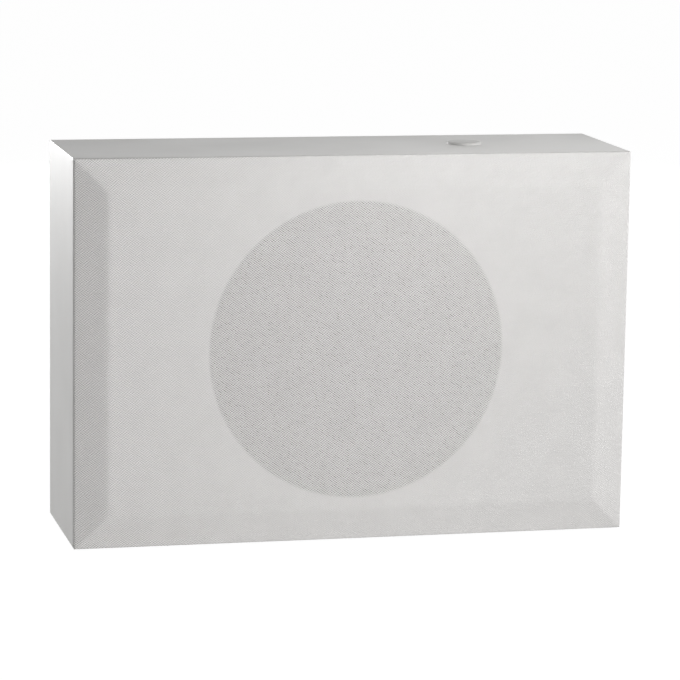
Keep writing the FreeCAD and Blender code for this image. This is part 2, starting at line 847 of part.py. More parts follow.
def tinsel_points(side, bend):
    """Start of a tinsel lead, the start, middle and end of its bend, and the way onward from there."""
    half_reach, half_rise = bend_reach(bend, tinsel_turn / 2)
    reach, rise = bend_reach(bend, tinsel_turn)
    start = V(post_x(side), lug_front - tab_forward, -tab_level)
    bend_start = start - TO_BACK * tinsel_straight
    onward = V(0, -math.cos(math.radians(tinsel_turn)), math.sin(math.radians(tinsel_turn)))
    return (start, bend_start, bend_start + V(0, -half_reach, half_rise), bend_start + V(0, -reach, rise),
            onward)


def tinsel_bend(side):
    """Largest bend that leaves a tinsel lead its last straight run before the cone's back."""
    small, large = tinsel_diameter, tab_level
    while large - small > tinsel_clearance / 2:
        bend = (small + large) / 2
        if tinsel_run(*tinsel_points(side, bend)[-2:]) < tinsel_last_run:
            large = bend
        else:
            small = bend
    return small


def tinsel_leads():
    """Braided leads from the tabs through a basket window to the back of the cone."""
    leads = []
    for side in SIDES.values():
        start, bend_start, bend_mid, bend_end, onward = tinsel_points(side, tinsel_bend(side))
        stop = bend_end + onward * tinsel_run(bend_end, onward)
        leads.append(placed_in_driver(piped([Part.makeLine(start, bend_start),
                                             Part.Arc(bend_start, bend_mid, bend_end).toShape(),
                                             Part.makeLine(bend_end, stop)], tinsel_diameter)))
    return group(leads)


def tinsel_run(start, onward):
    """Length of a tinsel lead's last straight run, which stops just short of the cone's back."""
    start_arc, mid_arc, end_arc = cone_back_arc()
    run = 0.0
    step = tinsel_clearance / 2
    room = tinsel_diameter / 2 + tinsel_clearance
    while True:
        point = start + onward * (run + step)
        radius = math.hypot(point.x, point.z)
        if point.y - arc_depth(start_arc, mid_arc, end_arc, radius) < room:
            return run
        run += step


def lead_eyelets():
    """Ring terminals on the posts' tails, each with a barrel for its lead."""
    eyelets = []
    for side in SIDES.values():
        post = V(post_x(side), eyelet_front, terminal_middle)
        barrel_radius = barrel_diameter / 2
        barrel_foot = terminal_middle + barrel_rise
        ring = rod(eyelet_diameter / 2, post, eyelet_thickness)
        tongue = block((post.x - barrel_radius, post.x + barrel_radius), (eyelet_front, cup_floor_in),
                       (terminal_middle, barrel_foot + barrel_length))
        barrel = rod(barrel_radius, V(post.x, barrel_axis, barrel_foot), barrel_length, UP)
        hole = rod(post_tail_diameter / 2 + thread_clearance, post - TO_BACK * THROUGH,
                   eyelet_thickness + 2 * THROUGH)
        eyelets.append(joined([ring, tongue, barrel]).cut(hole))
    return group(eyelets)


def inner_lead(side):
    """Insulated lead from a sleeve on the driver, back and down to the eyelet on its post."""
    x = post_x(side)
    start = V(x, baffle_front + lug_front + lug_board_length + THROUGH + sleeve_length, middle - tab_level)
    stop = V(x, barrel_axis, terminal_middle + barrel_rise + barrel_length)
    corner = V(x, stop.y, start.z)
    bend_start = corner - TO_BACK * wire_bend
    bend_stop = corner - UP * wire_bend
    inset = wire_bend * (1 - math.sqrt(0.5))
    bend_mid = corner + V(0, -inset, -inset)
    return piped([Part.makeLine(start, bend_start), Part.Arc(bend_start, bend_mid, bend_stop).toShape(),
                  Part.makeLine(bend_stop, stop)], wire_diameter)


# Terminal cup and binding posts


def cup_screw_places():
    """Middles of the cup's corner screws, as (x, z)."""
    return [(x, terminal_middle + z)
            for x in (-cup_screw_x, cup_screw_x) for z in (-cup_screw_z, cup_screw_z)]


def cup_screw_holes():
    """Cutters for the holes of the cup's screws, from the rear face inwards."""
    radius = cup_screw_diameter / 2 + screw_hole_clearance
    return [rod(radius, V(x, rear_face, z), cup_screw_length, -TO_BACK) for x, z in cup_screw_places()]


def flat_head_screw(place, diameter, length, head, head_height):
    """Countersunk screw driven forwards, with its head flush at a place on the rear."""
    shank = rod(diameter / 2, place, length - THROUGH, -TO_BACK)
    cone_head = Part.makeCone(head / 2, diameter / 2, head_height, place, -TO_BACK)
    return joined([shank, cone_head])


def countersinks(places, diameter, head, head_height, depth):
    """Cutters for countersunk holes that open on the rear face."""
    cutters = []
    for x, z in places:
        place = V(x, rear_face, z)
        grow = screw_hole_clearance
        cutters.append(Part.makeCone(head / 2 + grow, diameter / 2 + grow, head_height, place, -TO_BACK))
        cutters.append(rod(diameter / 2 + grow, place, depth + THROUGH, -TO_BACK))
    return cutters


def terminal_cup():
    """Moulded cup with a flange, a recess for fingers and holes for the two posts."""
    centre = (0, terminal_middle)
    flange = rounded_plate(cup_flange_width, cup_flange_height, (rear_face - cup_flange_thickness, rear_face),
                           cup_flange_radius, centre)
    walls = rounded_plate(cup_recess_width + 2 * cup_wall, cup_recess_height + 2 * cup_wall,
                          (cup_floor_in, rear_face - cup_flange_thickness),
                          cup_recess_radius + cup_wall, centre)
    recess = rounded_plate(cup_recess_width, cup_recess_height, (cup_floor_out, rear_face + THROUGH),
                           cup_recess_radius, centre)
    holes = [rod(post_tail_diameter / 2 + post_hole_clearance,
                 V(post_x(side), cup_floor_in - THROUGH, terminal_middle), cup_wall + 2 * THROUGH)
             for side in SIDES.values()]
    sinks = countersinks(cup_screw_places(), cup_screw_diameter, cup_screw_head, cup_screw_head_height,
                         cup_flange_thickness)
    return joined([flange, walls]).cut([recess] + holes + sinks)


def terminal_gasket():
    """Foam frame under the cup's flange."""
    centre = (0, terminal_middle)
    y = (rear_face - cup_rebate, rear_face - cup_flange_thickness)
    sheet = rounded_plate(cup_flange_width, cup_flange_height, y, cup_flange_radius, centre)
    middle_cut = rounded_plate(cup_recess_width + 2 * cup_wall, cup_recess_height + 2 * cup_wall,
                               (y[0] - THROUGH, y[1] + THROUGH), cup_recess_radius + cup_wall, centre)
    return sheet.cut([middle_cut] + cup_screw_holes())


def terminal_screws():
    """Four countersunk screws of the cup."""
    return group([flat_head_screw(V(x, rear_face, z), cup_screw_diameter, cup_screw_length, cup_screw_head,
                                  cup_screw_head_height) for x, z in cup_screw_places()])


def binding_post(side):
    """Turned stud with a collar on the cup's floor, a plug bore and a thinner tail inside."""
    stud, bore = post_diameter / 2, post_bore / 2
    tail, collar = post_tail_diameter / 2, post_collar_diameter / 2
    tail_end = -cup_wall - post_tail_length
    bore_end = post_length - post_bore_depth
    post = turned((0, tail_end), (tail, tail_end), (tail, 0), (collar, 0), (collar, post_collar),
                  (stud, post_collar), (stud, post_length), (bore, post_length), (bore, bore_end),
                  (0, bore_end))
    return post.translated(V(post_x(side), cup_floor_out, terminal_middle))


def thumb_nut(side):
    """Fluted nut on a post's stud, flush with its end."""
    outer, bore = thumb_nut_diameter / 2, post_diameter / 2 + thumb_nut_clearance
    low = post_collar + thumb_nut_gap
    cut = thumb_nut_chamfer
    nut = turned((bore, low), (outer - cut, low), (outer, low + cut), (outer, post_length - cut),
                 (outer - cut, post_length), (bore, post_length))
    flutes = [rod(thumb_nut_flute / 2, polar(outer + thumb_nut_flute / 6, angle, low - THROUGH),
                  post_length - low + 2 * THROUGH) for angle in around(thumb_nut_flutes)]
    return nut.cut(flutes).translated(V(post_x(side), cup_floor_out, terminal_middle))


def lock_nuts():
    """Hexagon nuts on the posts' tails, which clamp the eyelets."""
    nuts = []
    for side in SIDES.values():
        place = V(post_x(side), eyelet_front - lock_nut_height, terminal_middle)
        bore = rod(post_tail_diameter / 2 + thread_clearance, place - TO_BACK * THROUGH,
                   lock_nut_height + 2 * THROUGH)
        nuts.append(hexagon(lock_nut_width, place, lock_nut_height).cut(bore))
    return group(nuts)


# Keyhole hangers


def hanger_screw_levels():
    """Heights of one hanger's two screws."""
    reach = hanger_height / 2 - hanger_screw_inset
    return [hanger_middle - reach, hanger_middle + reach]


def hanger(side):
    """Moulded socket: a flange with a keyhole, and a closed pocket behind it for the screw's head."""
    x = side * hanger_place
    centre = (x, hanger_middle)
    inner = rear_face - hanger_thickness
    floor = inner - pocket_depth
    flange = rounded_plate(hanger_width, hanger_height, (inner, rear_face), hanger_radius, centre)
    walls = rounded_plate(pocket_width + 2 * pocket_wall, pocket_height + 2 * pocket_wall,
                          (floor - pocket_wall, inner), pocket_radius + pocket_wall, centre)
    pocket = rounded_plate(pocket_width, pocket_height, (floor, inner), pocket_radius, centre)
    start = V(x, rear_face + THROUGH, keyhole_middle)
    depth = hanger_thickness + 2 * THROUGH
    slot = block((x - keyhole_slot / 2, x + keyhole_slot / 2), (inner - THROUGH, rear_face + THROUGH),
                 (keyhole_middle, keyhole_middle + keyhole_travel))
    cuts = [pocket, slot, rod(keyhole_diameter / 2, start, depth, -TO_BACK),
            rod(keyhole_slot / 2, start + UP * keyhole_travel, depth, -TO_BACK)]
    places = [(x, z) for z in hanger_screw_levels()]
    cuts += countersinks(places, hanger_screw_diameter, hanger_screw_head, hanger_screw_head_height,
                         hanger_thickness)
    return joined([flange, walls]).cut(cuts)


def hanger_screws():
    """Countersunk screws of both hangers."""
    return group([flat_head_screw(V(side * hanger_place, rear_face, z), hanger_screw_diameter,
                                  hanger_screw_length, hanger_screw_head, hanger_screw_head_height)
                  for side in SIDES.values() for z in hanger_screw_levels()])


def pieces():
    """Every piece of the assembly by name."""
    parts = {
        "top_panel": top_panel(),
        "bottom_panel": bottom_panel(),
        "front_baffle": front_baffle(),
        "rear_panel": rear_panel(),
        "top_cap": top_cap(),
        "grille_frame": grille_frame(),
        "grille_cloth": grille_cloth(),
        "grille_magnets": grille_magnets(),
        "catch_discs": catch_discs(),
        "cone": cone(),
        "dust_cap": dust_cap(),
        "coil_former": coil_former(),
        "coil_winding": coil_winding(),
        "surround": surround(),
        "spider": spider(),
        "driver_trim_ring": driver_trim_ring(),
        "driver_gasket": driver_gasket(),
        "driver_basket": driver_basket(),
        "driver_screws": driver_screw_set(),
        "top_plate": top_plate(),
        "magnet_ring": magnet_ring(),
        "yoke": yoke(),
        "lug_board": lug_board(),
        "lug_tabs": lug_tabs(),
        "lead_sleeves": lead_sleeves(),
        "lead_eyelets": lead_eyelets(),
        "tinsel_leads": tinsel_leads(),
        "terminal_cup": terminal_cup(),
        "terminal_gasket": terminal_gasket(),
        "terminal_screws": terminal_screws(),
        "lock_nuts": lock_nuts(),
        "hanger_screws": hanger_screws(),
    }
    for name, side in SIDES.items():
        parts[name + "_side_panel"] = side_panel(side)
        parts[name + "_brace"] = brace(side)
        parts[name + "_wadding"] = wadding(side)
        parts[name + "_hanger"] = hanger(side)
        parts["foot_front_" + name] = foot(side, True)
        parts["foot_rear_" + name] = foot(side, False)
    for name, side in {"negative": SIDES["left"], "positive": SIDES["right"]}.items():
        parts[name + "_post"] = binding_post(side)
        parts[name + "_thumb_nut"] = thumb_nut(side)
        parts[name + "_lead"] = inner_lead(side)
    return parts


def main():
    """Write each piece to its own file."""
    os.makedirs("parts", exist_ok=True)
    for name, shape in pieces().items():
        shape.exportStep(os.path.join("parts", name + ".step"))


if __name__ == "__main__":
    main()
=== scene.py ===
"""Dresses the slim passive subwoofer: finishes for the solids, the stretched cloth and the soft parts.

Metres, in the frame of the solids: X runs to the right, Y to the back and Z up, seen by someone who
faces the grille. A surface is a whole-array formula on a grid of two parameters.
"""

import json
import logging
import math
from dataclasses import dataclass
from enum import Enum

import bpy
import numpy as np
from mathutils import Matrix, Vector


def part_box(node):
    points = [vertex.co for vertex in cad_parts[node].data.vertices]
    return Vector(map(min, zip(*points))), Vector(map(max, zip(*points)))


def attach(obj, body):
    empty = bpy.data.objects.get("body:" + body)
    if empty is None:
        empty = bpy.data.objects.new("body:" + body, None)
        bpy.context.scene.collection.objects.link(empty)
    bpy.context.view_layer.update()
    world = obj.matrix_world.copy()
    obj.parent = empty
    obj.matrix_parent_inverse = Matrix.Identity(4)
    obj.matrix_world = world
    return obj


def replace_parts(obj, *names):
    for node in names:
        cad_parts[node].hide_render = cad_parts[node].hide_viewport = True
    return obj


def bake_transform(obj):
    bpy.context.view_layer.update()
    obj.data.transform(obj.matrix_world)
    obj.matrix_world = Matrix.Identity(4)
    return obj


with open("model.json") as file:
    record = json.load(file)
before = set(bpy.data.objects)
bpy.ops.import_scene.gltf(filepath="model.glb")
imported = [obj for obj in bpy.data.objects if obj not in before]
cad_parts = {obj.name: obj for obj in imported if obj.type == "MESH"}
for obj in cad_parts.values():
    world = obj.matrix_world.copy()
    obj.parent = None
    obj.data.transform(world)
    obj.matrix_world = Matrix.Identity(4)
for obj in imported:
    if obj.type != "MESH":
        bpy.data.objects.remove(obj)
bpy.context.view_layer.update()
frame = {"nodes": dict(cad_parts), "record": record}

LOG = logging.getLogger("subwoofer")
MM = 0.001
BLACK = (0.0, 0.0, 0.0)
NOISE_MIDDLE = (0.3, 0.7)

Array = np.ndarray
Colour = tuple[float, float, float]
Point = tuple[float, float, float]
Socket = bpy.types.NodeSocket
Material = bpy.types.Material
Piece = bpy.types.Object


# Shapes


def soft_least(a: Array, b: Array, width: float) -> Array:
    """Least of two heights with a parabola of a given width across the place where they cross.

    Args:
        a: First heights.
        b: Second heights.
        width: Difference of heights over which the parabola runs.

    Returns:
        The softened least.
    """
    near = np.maximum(width - np.abs(a - b), 0.0) / width
    return np.minimum(a, b) - near * near * width / 4.0


def quads(rows: int, columns: int, wrap_rows: bool = False, wrap_columns: bool = False) -> Array:
    """Quads of a grid of points that is numbered row by row.

    Args:
        rows: Number of rows.
        columns: Number of points in a row.
        wrap_rows: Joins the last row to the first.
        wrap_columns: Joins the last point of each row to its first.

    Returns:
        Four point numbers for each quad.
    """
    row, column = np.meshgrid(np.arange(rows if wrap_rows else rows - 1),
                              np.arange(columns if wrap_columns else columns - 1), indexing="ij")
    next_row = (row + 1) % rows
    next_column = (column + 1) % columns
    corners = [row * columns + column, row * columns + next_column,
               next_row * columns + next_column, next_row * columns + column]
    return np.stack(corners, axis=-1).reshape(-1, 4)


def tips(rows: int, columns: int) -> Array:
    """Triangles from the end rows of a grid to two poles, which are numbered after the grid's points.

    Args:
        rows: Number of rows.
        columns: Number of points in a row, whose last is joined to its first.

    Returns:
        Three point numbers for each triangle, which turn the same way as the quads.
    """
    column = np.arange(columns)
    following = (column + 1) % columns
    last = (rows - 1) * columns
    pole = np.full(columns, rows * columns)
    return np.concatenate([np.stack([following, column, pole], axis=-1),
                           np.stack([last + column, last + following, pole + 1], axis=-1)])


def new_piece(name: str, points: Array, faces: list[Array], finish: Material,
              uv: Array | None = None) -> Piece:
    """Smooth-shaded object at the origin, with its place in its mesh.

    Args:
        name: Name of the piece.
        points: One row of x, y and z for each point.
        faces: Point numbers of each face, in one array for the quads and one for the triangles.
        finish: Material of the whole piece.
        uv: One row of u and v for each point, where the finish follows the surface.

    Returns:
        The new object, linked to the scene.
    """
    mesh = bpy.data.meshes.new(name)
    mesh.from_pydata(points.tolist(), [], [face for kind in faces for face in kind.tolist()])
    mesh.shade_smooth()
    if uv is not None:
        layer = mesh.uv_layers.new(name="UVMap")
        corners = np.concatenate([kind.ravel() for kind in faces])
        layer.data.foreach_set("uv", uv[corners].astype(np.float32).ravel())
    mesh.materials.append(finish)
    mesh.validate()
    piece = bpy.data.objects.new(name, mesh)
    bpy.context.scene.collection.objects.link(piece)
    return piece


# Finishes


class Shading:
    """Node tree of one finish, with a short call for each kind of node that the finishes share."""

    def __init__(self, name: str) -> None:
        """Starts a tree with a surface shader and the object's own coordinates.

        Args:
            name: Name of the material.
        """
        self.material = bpy.data.materials.new(name)
        self.material.use_nodes = True
        self.tree = self.material.node_tree
        self.tree.nodes.clear()
        self.shader = self.node("ShaderNodeBsdfPrincipled")
        self.output = self.node("ShaderNodeOutputMaterial")
        self.tree.links.new(self.shader.outputs["BSDF"], self.output.inputs["Surface"])
        coordinates = self.node("ShaderNodeTexCoord")
        self.place = coordinates.outputs["Object"]
        self.uv = coordinates.outputs["UV"]

    def node(self, kind: str, **settings: object) -> bpy.types.Node:
        """Adds a node.

        Args:
            kind: Blender's name of the node type.
            **settings: Properties of the node.

        Returns:
            The node.
        """
        made = self.tree.nodes.new(kind)
        for key, value in settings.items():
            setattr(made, key, value)
        return made

    def feed(self, socket: Socket, value: object) -> None:
        """Links a socket's value, or sets it where it is the same all over.

        Args:
            socket: Input to feed.
            value: Another node's output, a number or a colour.
        """
        if isinstance(value, bpy.types.NodeSocket):
            self.tree.links.new(value, socket)
        elif isinstance(value, tuple) and len(socket.default_value) == 4:
            socket.default_value = (*value, 1.0)
        else:
            socket.default_value = value

    def surface(self, **values: object) -> None:
        """Sets inputs of the surface shader.

        Args:
            **values: Value of each input, with spaces in its name written as underscores.
        """
        for key, value in values.items():
            self.feed(self.shader.inputs[key.replace("_", " ")], value)

    def math(self, operation: str, first: object, second: object = 0.0) -> Socket:
        """Adds a calculation with one or two numbers.

        Args:
            operation: Blender's name of the operation.
            first: First number or output.
            second: Second number or output.

        Returns:
            The result.
        """
        made = self.node("ShaderNodeMath", operation=operation)
        self.feed(made.inputs[0], first)
        self.feed(made.inputs[1], second)
        return made.outputs[0]

    def span(self, value: Socket, start: float, stop: float, low: float, high: float) -> Socket:
        """Maps a span of values smoothly onto another span, held at its ends.

        Args:
            value: Value to map.
            start: Start of the first span.
            stop: End of the first span.
            low: Start of the second span.
            high: End of the second span.

        Returns:
            The mapped value.
        """
        made = self.node("ShaderNodeMapRange", interpolation_type="SMOOTHSTEP")
        for key, number in (("Value", value), ("From Min", start), ("From Max", stop), ("To Min", low),
                            ("To Max", high)):
            self.feed(made.inputs[key], number)
        return made.outputs["Result"]

    def noise(self, pitch: float, detail: float = 2.0, stretch: Point = (1.0, 1.0, 1.0)) -> Socket:
        """Cloudy noise in the object's own place.

        Args:
            pitch: Size of its coarsest grains.
            detail: Number of finer octaves.
            stretch: How many times longer the grains are along each axis.

        Returns:
            A value about one half.
        """
        mapping = self.node("ShaderNodeMapping")
        self.feed(mapping.inputs["Vector"], self.place)
        mapping.inputs["Scale"].default_value = [1.0 / (pitch * s) for s in stretch]
        made = self.node("ShaderNodeTexNoise")
        self.feed(made.inputs["Vector"], mapping.outputs["Vector"])
        made.inputs["Scale"].default_value = 1.0
        made.inputs["Detail"].default_value = detail
        return made.outputs["Fac"]

    def grade(self, noise: Socket, low: float = 0.0, high: float = 1.0) -> Socket:
        """Spreads the middle of a noise, where most of its values lie, over a span.

        Args:
            noise: Noise to spread.
            low: Start of the span.
            high: End of the span.

        Returns:
            The spread value.
        """
        return self.span(noise, *NOISE_MIDDLE, low, high)

    def stray(self, noise: Socket, mean: float, spread: float) -> Socket:
        """Value that strays from its mean as a noise does, by a spread to either side."""
        return self.grade(noise, mean - spread, mean + spread)

    def mix(self, share: object, first: object, second: object) -> Socket:
        """Mixes two colours.

        Args:
            share: Share of the second colour.
            first: First colour.
            second: Second colour.

        Returns:
            The mixed colour.
        """
        made = self.node("ShaderNodeMix", data_type="RGBA")
        # The node also has sockets for plain numbers and vectors, and those for colours are at 6, 7 and 2.
        self.feed(made.inputs[0], share)
        self.feed(made.inputs[6], first)
        self.feed(made.inputs[7], second)
        return made.outputs[2]

    def bump(self, height: Socket, depth: float, strength: float = 1.0,
             under: Socket | None = None) -> Socket:
        """Turns a height into a bent normal.

        Args:
            height: Height from 0 to 1.
            depth: Real depth of a full height.
            strength: Share of the effect.
            under: Normal of a coarser bump that this one lies on.

        Returns:
            The bent normal.
        """
        made = self.node("ShaderNodeBump")
        self.feed(made.inputs["Height"], height)
        self.feed(made.inputs["Distance"], depth)
        self.feed(made.inputs["Strength"], strength)
        if under is not None:
            self.feed(made.inputs["Normal"], under)
        return made.outputs["Normal"]


def darker(colour: Colour, share: float) -> Colour:
    """A colour taken down by a share of its light, or up where the share is below 0."""
    return tuple(c * (1.0 - share) for c in colour)


@dataclass(frozen=True)
class Finish:
    """What every finish has.

    Attributes:
        name: Name of the material.
        colour: Main colour, in linear light.
        roughness: Mean roughness of the surface.
    """

    name: str
    colour: Colour
    roughness: float

    def make(self) -> Material:
        """Builds the material with its own surface detail."""
        shading = Shading(self.name)
        self.detail(shading)
        return shading.material

    def detail(self, shading: Shading) -> None:
        """Adds the finish's nodes.

        Args:
            shading: Tree to add them to.
        """
        raise NotImplementedError


@dataclass(frozen=True)
class Lacquer(Finish):
    """Sprayed satin lacquer: a faint drift of tone, dust specks, and the orange peel of the spray.

    Attributes:
        drift: Share of light that the tone drifts by.
        peel_pitch: Size of the peel's dimples.
        peel_depth: Depth of the dimples.
        gloss: Level of the mirror-like share of its light.
        drift_pitch: Size of the clouds that the tone drifts in.
        speck_pitch: Size of the specks.
        speck_share: Largest share of the specks' tone.
        speck_dark: Share of light that the specks take off.
        unevenness: How far the roughness strays to either side of its mean.
    """

    drift: float = 0.03
    peel_pitch: float = 1.6 * MM
    peel_depth: float = 0.010 * MM
    gloss: float = 0.3
    drift_pitch: float = 70 * MM
    speck_pitch: float = 0.5 * MM
    speck_share: float = 0.25
    speck_dark: float = 0.12
    unevenness: float = 0.03

    def detail(self, shading: Shading) -> None:
        """Drift in colour and gloss from slow noise, and peel and specks from two fine ones."""
        slow = shading.noise(self.drift_pitch, 3.0)
        peel = shading.noise(self.peel_pitch, 1.0)
        specks = shading.span(shading.noise(self.speck_pitch, 1.0), 0.62, 0.8, 0.0, self.speck_share)
        tone = shading.mix(shading.grade(slow), self.colour, darker(self.colour, self.drift))
        shading.surface(
            Base_Color=shading.mix(specks, tone, darker(self.colour, self.speck_dark)),
            Roughness=shading.span(slow, 0.2, 0.8, self.roughness - self.unevenness,
                                   self.roughness + self.unevenness),
            Specular_IOR_Level=self.gloss,
            Normal=shading.bump(peel, self.peel_depth))


@dataclass(frozen=True)
class FibreBoard(Finish):
    """Pressed fibre board, bare or under thin paint: short fibres and a mottled tone.

    Attributes:
        mottle: Share of light between the dark and the light fibres.
        fibre_pitch: Thickness of the fibres.
        fibre_stretch: How many times longer they are along each axis.
        fibre_depth: Height of the fibres.
        fibre_weight: Weight of the fibres in the tone, where the clouds have the rest.
        cloud_pitch: Size of the clouds.
        unevenness: How much rougher the raised fibres are.
    """

    mottle: float = 0.3
    fibre_pitch: float = 0.9 * MM
    fibre_stretch: Point = (4.0, 1.0, 1.0)
    fibre_depth: float = 0.06 * MM
    fibre_weight: float = 0.7
    cloud_pitch: float = 14 * MM
    unevenness: float = 0.12

    def detail(self, shading: Shading) -> None:
        """Fibres from stretched noise, over mottle from coarse noise."""
        fibre = shading.noise(self.fibre_pitch, 3.0, self.fibre_stretch)
        cloud = shading.noise(self.cloud_pitch, 2.0)
        tone = shading.math("ADD", shading.math("MULTIPLY", fibre, self.fibre_weight),
                            shading.math("MULTIPLY", cloud, 1.0 - self.fibre_weight))
        pale = shading.span(tone, 0.35, 0.65, 0.0, 1.0)
        shading.surface(
            Base_Color=shading.mix(pale, darker(self.colour, self.mottle), self.colour),
            Roughness=shading.grade(fibre, self.roughness, min(self.roughness + self.unevenness, 1.0)),
            Normal=shading.bump(fibre, self.fibre_depth))


@dataclass(frozen=True)
class Moulding(Finish):
    """Moulded plastic with the fine sparked grain of its tool.

    Attributes:
        grain_pitch: Size of the grain.
        grain_depth: Depth of the grain.
        flow: Share of light that the tone loses along the flow of the plastic.
        flow_pitch: Size of the flow's clouds.
        unevenness: How far the roughness strays to either side of its mean.
    """

    grain_pitch: float = 0.35 * MM
    grain_depth: float = 0.012 * MM
    flow: float = 0.08
    flow_pitch: float = 18 * MM
    unevenness: float = 0.05

    def detail(self, shading: Shading) -> None:
        """Grain from fine noise, and a faint flow of tone from slow noise."""
        grain = shading.noise(self.grain_pitch, 2.0)
        flow = shading.grade(shading.noise(self.flow_pitch, 2.0))
        shading.surface(
            Base_Color=shading.mix(flow, self.colour, darker(self.colour, self.flow)),
            Roughness=shading.stray(grain, self.roughness, self.unevenness),
            Normal=shading.bump(grain, self.grain_depth))


@dataclass(frozen=True)
class Rubber(Finish):
    """Moulded rubber with a dusty bloom.

    Attributes:
        bloom: Colour of the bloom.
        bloom_share: Largest share of the bloom.
        bloom_pitch: Size of the bloom's clouds.
        skin_pitch: Size of the skin's grain.
        skin_depth: Depth of that grain.
        unevenness: How far the roughness strays to either side of its mean.
    """

    bloom: Colour = (0.16, 0.16, 0.16)
    bloom_share: float = 0.22
    bloom_pitch: float = 7 * MM
    skin_pitch: float = 0.3 * MM
    skin_depth: float = 0.008 * MM
    unevenness: float = 0.06

    def detail(self, shading: Shading) -> None:
        """Bloom from cloudy noise, and a fine skin from finer noise."""
        cloud = shading.noise(self.bloom_pitch, 4.0)
        skin = shading.noise(self.skin_pitch, 1.0)
        bloom = shading.span(cloud, 0.4, 0.75, 0.0, self.bloom_share)
        shading.surface(
            Base_Color=shading.mix(bloom, self.colour, self.bloom),
            Roughness=shading.stray(cloud, self.roughness, self.unevenness),
            Normal=shading.bump(skin, self.skin_depth))


class MetalSurface(Enum):
    """How a metal surface was left: stretch of its marks along X, Y and Z, their size and their depth."""

    PLATED = ((1.0, 1.0, 1.0), 0.6 * MM, 0.002 * MM)
    BRUSHED = ((30.0, 30.0, 1.0), 0.15 * MM, 0.004 * MM)
    CAST = ((1.0, 1.0, 1.0), 0.7 * MM, 0.05 * MM)
    DRAWN = ((1.0, 20.0, 1.0), 0.12 * MM, 0.004 * MM)


@dataclass(frozen=True)
class Metal(Finish):
    """Bare, plated or painted metal.

    Attributes:
        surface: How the surface was left.
        metallic: 1 for bare or plated metal, and 0 under paint.
        stain: Share of light that handling and age take off in places.
        stain_pitch: Size of the stains.
        unevenness: How far the roughness strays to either side of its mean.
        smoothest: Least roughness.
    """

    surface: MetalSurface = MetalSurface.PLATED
    metallic: float = 1.0
    stain: float = 0.15
    stain_pitch: float = 9 * MM
    unevenness: float = 0.08
    smoothest: float = 0.05

    def detail(self, shading: Shading) -> None:
        """Marks of the making from stretched noise, and stain from slow noise."""
        stretch, pitch, depth = self.surface.value
        marks = shading.noise(pitch, 2.0, stretch)
        age = shading.span(shading.noise(self.stain_pitch, 4.0), 0.45, 0.75, 0.0, 1.0)
        shading.surface(
            Base_Color=shading.mix(age, self.colour, darker(self.colour, self.stain)),
            Metallic=self.metallic,
            Roughness=shading.span(marks, 0.25, 0.75, max(self.roughness - self.unevenness, self.smoothest),
                                   self.roughness + self.unevenness),
            Normal=shading.bump(marks, depth))


@dataclass(frozen=True)
class PressedPaper(Finish):
    """Pressed paper pulp: felted fibres with a few paler ones.

    Attributes:
        felt_pitch: Size of the felt's clumps.
        felt_depth: Height of the clumps.
        fibre_pitch: Thickness of the pale fibres.
        fibre_stretch: How many times longer they are along each axis.
        fibre_depth: Height of the pale fibres.
        fibre_gain: How many times lighter they are.
        fibre_white: White that they have on top of that.
        fibre_share: Largest share of their tone.
        unevenness: How far the roughness strays to either side of its mean.
    """

    felt_pitch: float = 1.8 * MM
    felt_depth: float = 0.08 * MM
    fibre_pitch: float = 0.5 * MM
    fibre_stretch: Point = (5.0, 1.0, 1.0)
    fibre_depth: float = 0.03 * MM
    fibre_gain: float = 2.2
    fibre_white: float = 0.02
    fibre_share: float = 0.5
    unevenness: float = 0.08

    def detail(self, shading: Shading) -> None:
        """Felt from noise in two grains, and pale fibres where the finer one peaks."""
        felt = shading.noise(self.felt_pitch, 4.0)
        fibre = shading.noise(self.fibre_pitch, 2.0, self.fibre_stretch)
        pale = tuple(min(c * self.fibre_gain + self.fibre_white, 1.0) for c in self.colour)
        peaks = shading.span(fibre, 0.55, 0.75, 0.0, self.fibre_share)
        shading.surface(
            Base_Color=shading.mix(peaks, self.colour, pale),
            Roughness=shading.stray(felt, self.roughness, self.unevenness),
            Normal=shading.bump(felt, self.felt_depth, 1.0, shading.bump(fibre, self.fibre_depth)))


@dataclass(frozen=True)
class Felt(Finish):
    """Loose fibres or open foam, with soft pits.

    Attributes:
        pitch: Size of the pits.
        depth: Depth of the pits.
        fuzz: Weight of the soft edge light of loose fibres.
        pit_painted_shade: Share of light taken off the pits' colour as painted shade.
    """

    pitch: float = 3.0 * MM
    depth: float = 0.6 * MM
    fuzz: float = 0.3
    pit_painted_shade: float = 0.35

    def detail(self, shading: Shading) -> None:
        """Pits from noise that also darkens them."""
        pits = shading.noise(self.pitch, 5.0)
        light = shading.span(pits, 0.35, 0.6, 0.0, 1.0)
        # Painted shade: the colour darkens where the noise sinks the pits.
        shading.surface(
            Base_Color=shading.mix(light, darker(self.colour, self.pit_painted_shade), self.colour),
            Roughness=self.roughness,
            Sheen_Weight=self.fuzz,
            Normal=shading.bump(pits, self.depth))


